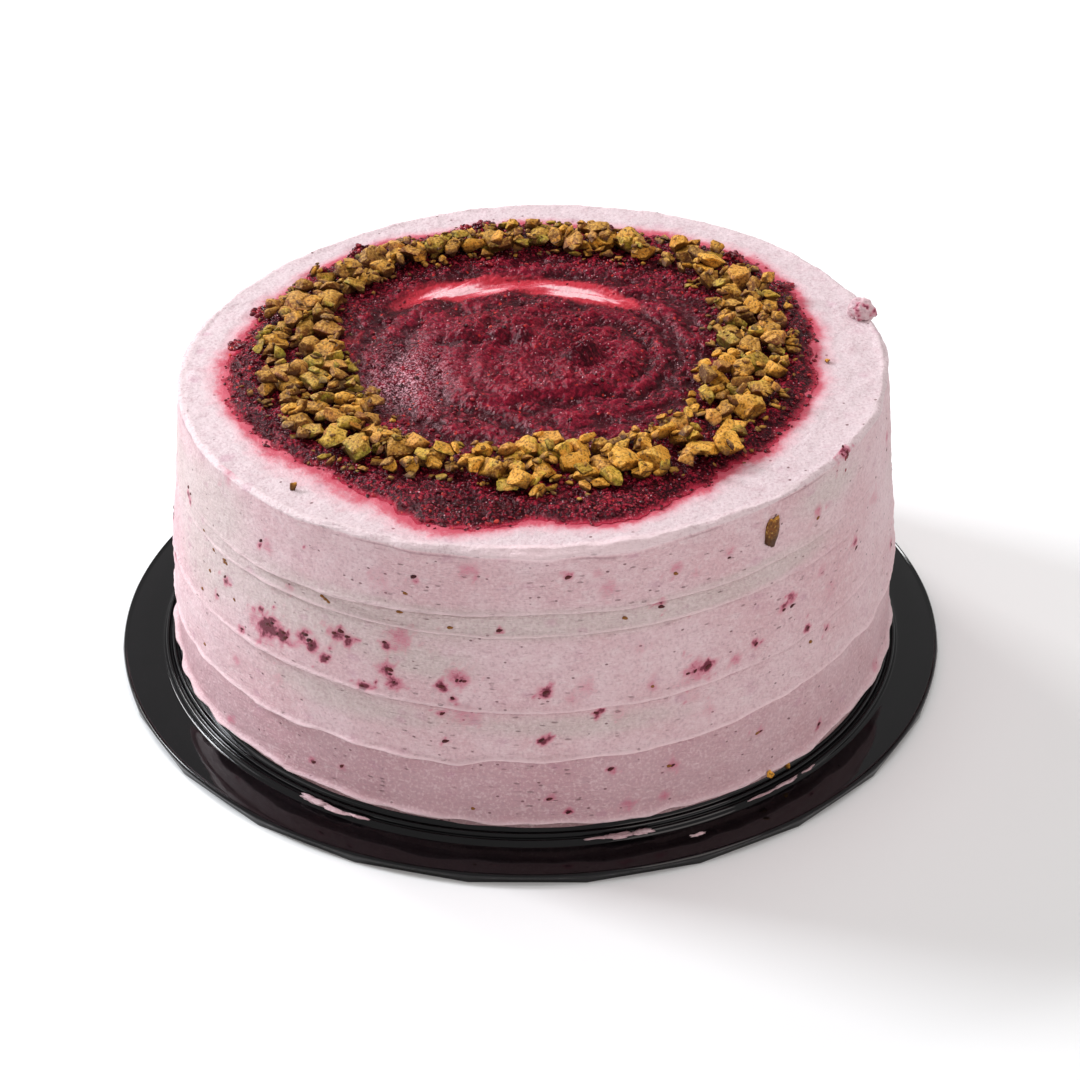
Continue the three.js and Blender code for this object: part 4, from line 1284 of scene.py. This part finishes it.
def seed_finish():
    paint = Finish("raspberry_seed")
    tint = paint.attribute("tint")
    colour = paint.mix(tint, (0.040, 0.004, 0.006), (0.10, 0.016, 0.016))
    colour = paint.mix(tint.step(1.5, 1.9), colour, (0.24, 0.095, 0.02))
    return paint.finish(
        base_color=paint.mix(paint.noise(0.6, 3).step(0.55, 0.75) * 0.5, colour, (0.22, 0.05, 0.05)),
        roughness=0.5,
        specular_ior_level=0.25,
        normal=paint.bump(paint.noise(0.5, 2), 0.1),
        ior=1.45,
    )


BEADS = 6500
CLUMP_BEADS = 44


def bead(draw, x, y, surface, size):
    """A place for one bead of pulp on the topping."""
    azimuth = math.degrees(math.atan2(x - CAKE_X, -(y - CAKE_Y))) % 360
    column = surface[:, round(azimuth / 360 * TOPPING_COLUMNS) % TOPPING_COLUMNS]
    height = column[np.hypot(column[:, 0] - x, column[:, 1] - y).argmin(), 2]
    return dict(
        at=(x, y, height + 0.05 * size),
        turn=(1.2 * (draw() - 0.5), 1.2 * (draw() - 0.5), 6.28 * draw()),
        size=(size, size * (0.9 + 0.5 * draw()), size * (0.9 + 0.4 * draw())),
        shape=int(draw() * SEED_SHAPES),
        tint=draw(),
    )


def bead_places(surface):
    """Small beads of raspberry and seeds all over the topping."""
    draw = seeded(515)
    places = []
    for _ in range(BEADS):
        azimuth = 360 * draw()
        radius = float(topping_rim(azimuth) + 0.5) * math.sqrt(draw())
        size = 0.4 + 0.65 * draw() ** 3
        crowd = 0.3 + 0.7 * float(smooth(52, 62, radius))
        if draw() < crowd * (1 - 1.2 * track_share(azimuth, radius)):
            places.append(bead(draw, *on_cake(azimuth, radius, 0)[:2], surface, size))
    return places


def clump_places(surface):
    """The larger beads of the whole clumps."""
    draw = seeded(516)
    places = []
    for azimuth, radius, size in BERRY_LUMPS:
        middle = on_cake(azimuth, radius, 0)
        for _ in range(CLUMP_BEADS):
            away, turn = 0.52 * size * math.sqrt(draw()), 2 * math.pi * draw()
            x, y = middle[0] + away * math.cos(turn), middle[1] + away * math.sin(turn)
            places.append(bead(draw, x, y, surface, 0.65 + 0.5 * draw()))
    return places


def bead_finish():
    paint = Finish("raspberry_bead")
    stops = [(0.0, (0.04, 0.002, 0.005)), (0.55, (0.15, 0.006, 0.016)), (0.9, (0.34, 0.016, 0.034)),
             (0.97, (0.45, 0.03, 0.04)), (1.0, (0.66, 0.07, 0.05))]
    return paint.finish(
        base_color=paint.ramp(paint.attribute("tint"), stops),
        roughness=0.2,
        normal=paint.bump(paint.noise(0.5, 3), 0.14),
        ior=1.42,
    )


# Frosting smeared on the ridges of the base: azimuth, half-angle, radius, height and width.
SMEARS = ((-33, 2.4, 113.4, 4.9, 1.3), (-29.5, 2.4, 113.8, 4.8, 1.0), (-25.5, 1.6, 113.6, 4.9, 0.6),
          (12.5, 2.0, 114.0, 4.9, 1.2), (16, 1.6, 113.9, 4.9, 1.1), (9.5, 2.0, 113.8, 4.9, 0.5),
          (35.5, 2.6, 114.0, 4.8, 0.5), (40.5, 2.2, 114.0, 4.8, 0.6), (45, 1.4, 114.0, 4.8, 0.4),
          (23.4, 1.1, 118.5, 3.3, 0.6))
RIM_LUMP = (102, 101.2, 3.9)
# The frosting's attributes on a loose bit of it: plain frosting, as where the rim starts.
PLAIN_FROSTING = {"level": 6, "juice": -20, "stain": 0, "plain": 0, "crease": 0}


def make_frosting_bits():
    """The lump of frosting on the right of the rim, and the smears on the base."""
    parts = []
    azimuth, radius, size = RIM_LUMP
    at = on_cake(azimuth, radius, CAKE_TOP)
    at[2] += slope(at) + 0.55 * size
    ball, faces = pitted(7, 4, (size, size * 0.85, size * 0.95), 0.34, 0.6)
    parts.append((ball + at, faces))
    for number, (middle, half_angle, radius, height, width) in enumerate(SMEARS):
        ball, faces = pitted(30 + number, 3, (1.0, width, 0.42 * width), 0.5, 0.35)
        turn = np.radians(middle + ball[:, 0] * half_angle)
        out = radius + ball[:, 1] + 0.15 * np.sin(ball[:, 0] * 4 + number)
        parts.append((vectors(out * np.sin(turn), -out * np.cos(turn), height + ball[:, 2]), faces))
    points = np.concatenate([p for p, _ in parts])
    starts = np.cumsum([0] + [len(p) for p, _ in parts])
    faces = [[i + start for i in face] for start, (_, part) in zip(starts.tolist(), parts) for face in part]
    rows = {name: np.full(len(points), float(value)) for name, value in PLAIN_FROSTING.items()}
    rows["stain"] = np.clip(2.2 * rough(points, 2.2, 2) - 0.25, 0, 0.75) * (points[:, 2] > 90)
    return mesh_object("frosting_bits", points, faces, rows)


# Beads of the torn clump on the rim: azimuth, height and size.
RIM_BERRY = ((56.6, 99.6, 0.8), (56.9, 98.6, 1.0), (56.4, 97.5, 0.8), (56.1, 96.4, 0.6), (57.2, 100.4, 0.6),
             (55.8, 99.8, 0.5))


def rim_berry_places(surface):
    """The torn clump of raspberry at the right of the rim."""
    draw = seeded(61)
    places = []
    for azimuth, height, size in RIM_BERRY:
        places.append(dict(
            at=in_wall(azimuth, height, surface),
            turn=(3 * draw(), 3 * draw(), 3 * draw()),
            size=(size, size, size * 1.1),
            shape=int(draw() * SEED_SHAPES),
            tint=0.35 + 0.5 * draw(),
        ))
    return places


SHARD = (38.4, 90.0)
# Crumbs at the foot of the wall: azimuth, height, tint and green.
FOOT_CRUMBS = ((37.0, 11.7, 0.9, 0.5), (42.3, 8.6, 0.7, 0.6), (37.6, 10.6, 0.6, 0.5))


def stray(at, turn, size, shape, tint, green, lift=0.0):
    """A place for one piece of nut that lies apart from the ring."""
    lifted = (at[0], at[1], at[2] + float(lift))
    return dict(at=lifted, turn=turn, size=size, shape=shape, tint=tint, green=green, foot=at[2] - 2)


def stray_nut_places(surface):
    """The shard pressed into the wall, two crumbs on the top, and crumbs at the foot."""
    shard = in_wall(*SHARD, surface, 0.4)
    left = on_cake(-43.8, 95.7, CAKE_TOP + 1.0)
    right = on_cake(86, 86.5, CAKE_TOP + 0.6)
    places = [
        stray(shard, turned_to((0.12, 0.1, 1), outward(SHARD[0])), (5.0, 4.2, 2.8), 0, 0.35, 0.5),
        stray(left, turned_to((0.2, 0, 1), (0.3, -1, 0)), (1.6, 1.3, 1.2), 1, 0.6, 0.6, slope(left)),
        stray(right, (0.3, 0.2, 1), (1.0, 1.0, 1.0), 2, 0.8, 0.5, slope(right)),
    ]
    for azimuth, height, tint, green in FOOT_CRUMBS:
        at = in_wall(azimuth, height, surface, 0.6)
        places.append(stray(at, (0.5, azimuth, 0.4), (1.2, 1.2, 1.1), 3, tint, green))
    return places


# ---- The set ----

CAMERA_PLACE = (0.0, -743.5, 514.4)
CAMERA_DOWN = 32.98
CAMERA_TURN = 0.226
CAMERA_LENS = 95.73
SENSOR_WIDTH = 36.0
FLOOR_HALF = 5.0
WORLD_LIGHT = 0.42
# Each light: place in metres, size, power, colour and whether it shows in reflections.
LIGHTS = {
    "key": ((-1.35, 0.55, 0.95), 0.4, 23, (0.945, 0.985, 1.03), True),
    "overhead": ((0.1, 0.2, 1.7), 1.2, 7, (1, 1, 1), False),
    "back_window": ((-0.95, 1.2, 1.3), 0.4, 11, (1, 1, 1), True),
    "front_fill": ((1.1, -1.2, 0.9), 1.0, 6.2, (1.0, 0.905, 0.875), True),
}


def make_camera():
    data = bpy.data.cameras.new("camera")
    data.lens = CAMERA_LENS
    data.sensor_width = SENSOR_WIDTH
    data.clip_start, data.clip_end = 0.01, 100.0
    camera = bpy.data.objects.new("camera", data)
    camera.location = Vector(CAMERA_PLACE) * MM
    camera.rotation_euler = (math.radians(90 - CAMERA_DOWN), 0, math.radians(-CAMERA_TURN))
    bpy.context.scene.collection.objects.link(camera)
    bpy.context.scene.camera = camera


def area_light(name, place, size, power, colour, mirrored):
    data = bpy.data.lights.new(name, "AREA")
    data.shape = "SQUARE"
    data.size = size
    data.energy = power
    data.color = colour
    light = bpy.data.objects.new(name, data)
    light.location = place
    light.rotation_euler = (-Vector(place)).to_track_quat("-Z", "Y").to_euler()
    light.visible_glossy = mirrored
    bpy.context.scene.collection.objects.link(light)


def make_set():
    world = bpy.data.worlds.new("studio")
    world.use_nodes = True
    background = world.node_tree.nodes["Background"]
    background.inputs["Color"].default_value = (1.0, 1.0, 1.0, 1.0)
    background.inputs["Strength"].default_value = WORLD_LIGHT
    bpy.context.scene.world = world
    for name, settings in LIGHTS.items():
        area_light(name, *settings)
    corners = [(x * FLOOR_HALF, y * FLOOR_HALF, 0) for x, y in ((-1, -1), (1, -1), (1, 1), (-1, 1))]
    mesh = bpy.data.meshes.new("floor")
    mesh.from_pydata(corners, [], [(0, 1, 2, 3)])
    floor = bpy.data.objects.new("floor", mesh)
    bpy.context.scene.collection.objects.link(floor)
    paint = Finish("pale_floor")
    mesh.materials.append(paint.finish(base_color=(0.97, 0.97, 0.97, 1.0), roughness=0.9))
    bpy.context.scene.view_settings.view_transform = "Standard"


# ---- Putting it together ----


def dress(piece, material, slot, *nodes):
    """Puts a finished piece under the root body, with its material where the piece has none yet, and hides
    the parts it stands for.
    """
    if material:
        piece.data.materials.append(material)
    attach(piece, "root")
    if nodes:
        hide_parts(*nodes)


def seeds(name, first_seed, places, material, detail=2):
    shapes = [seed_shape("seed", first_seed + n, detail) for n in range(SEED_SHAPES)]
    dress(scatter(name, shapes, places, material, ("tint",)), None, "crushed_raspberry")


make_camera()
make_set()
frosting_material, nut_material, bead_material = frosting_finish(), nut_finish(), bead_finish()
dress(make_base(), base_finish(), "black_plastic", "cake_base")
frosting, wall = make_frosting()
dress(frosting, frosting_material, "raspberry_frosting", "frosted_cake")
dress(make_frosting_bits(), frosting_material, "raspberry_frosting")
pulp, pulp_surface = make_topping()
dress(pulp, topping_finish(), "crushed_raspberry", "raspberry_topping")
for nuts in make_nuts(nut_material):
    dress(nuts, None, "chopped_pistachio", "pistachio_ring")
stray_shapes = [chip for chip, _ in chips("medium", 4)]
stray_nuts = scatter("stray_nuts", stray_shapes, stray_nut_places(wall), nut_material, NUT_VALUES)
dress(mark_facing(stray_nuts), None, "chopped_pistachio")
seeds("wall_seeds", 10, wall_seed_places(wall), seed_finish())
seeds("pulp_beads", 20, bead_places(pulp_surface), bead_material, 1)
seeds("raspberry_clumps", 25, clump_places(pulp_surface), bead_material)
seeds("rim_berry", 30, rim_berry_places(wall), bead_material)
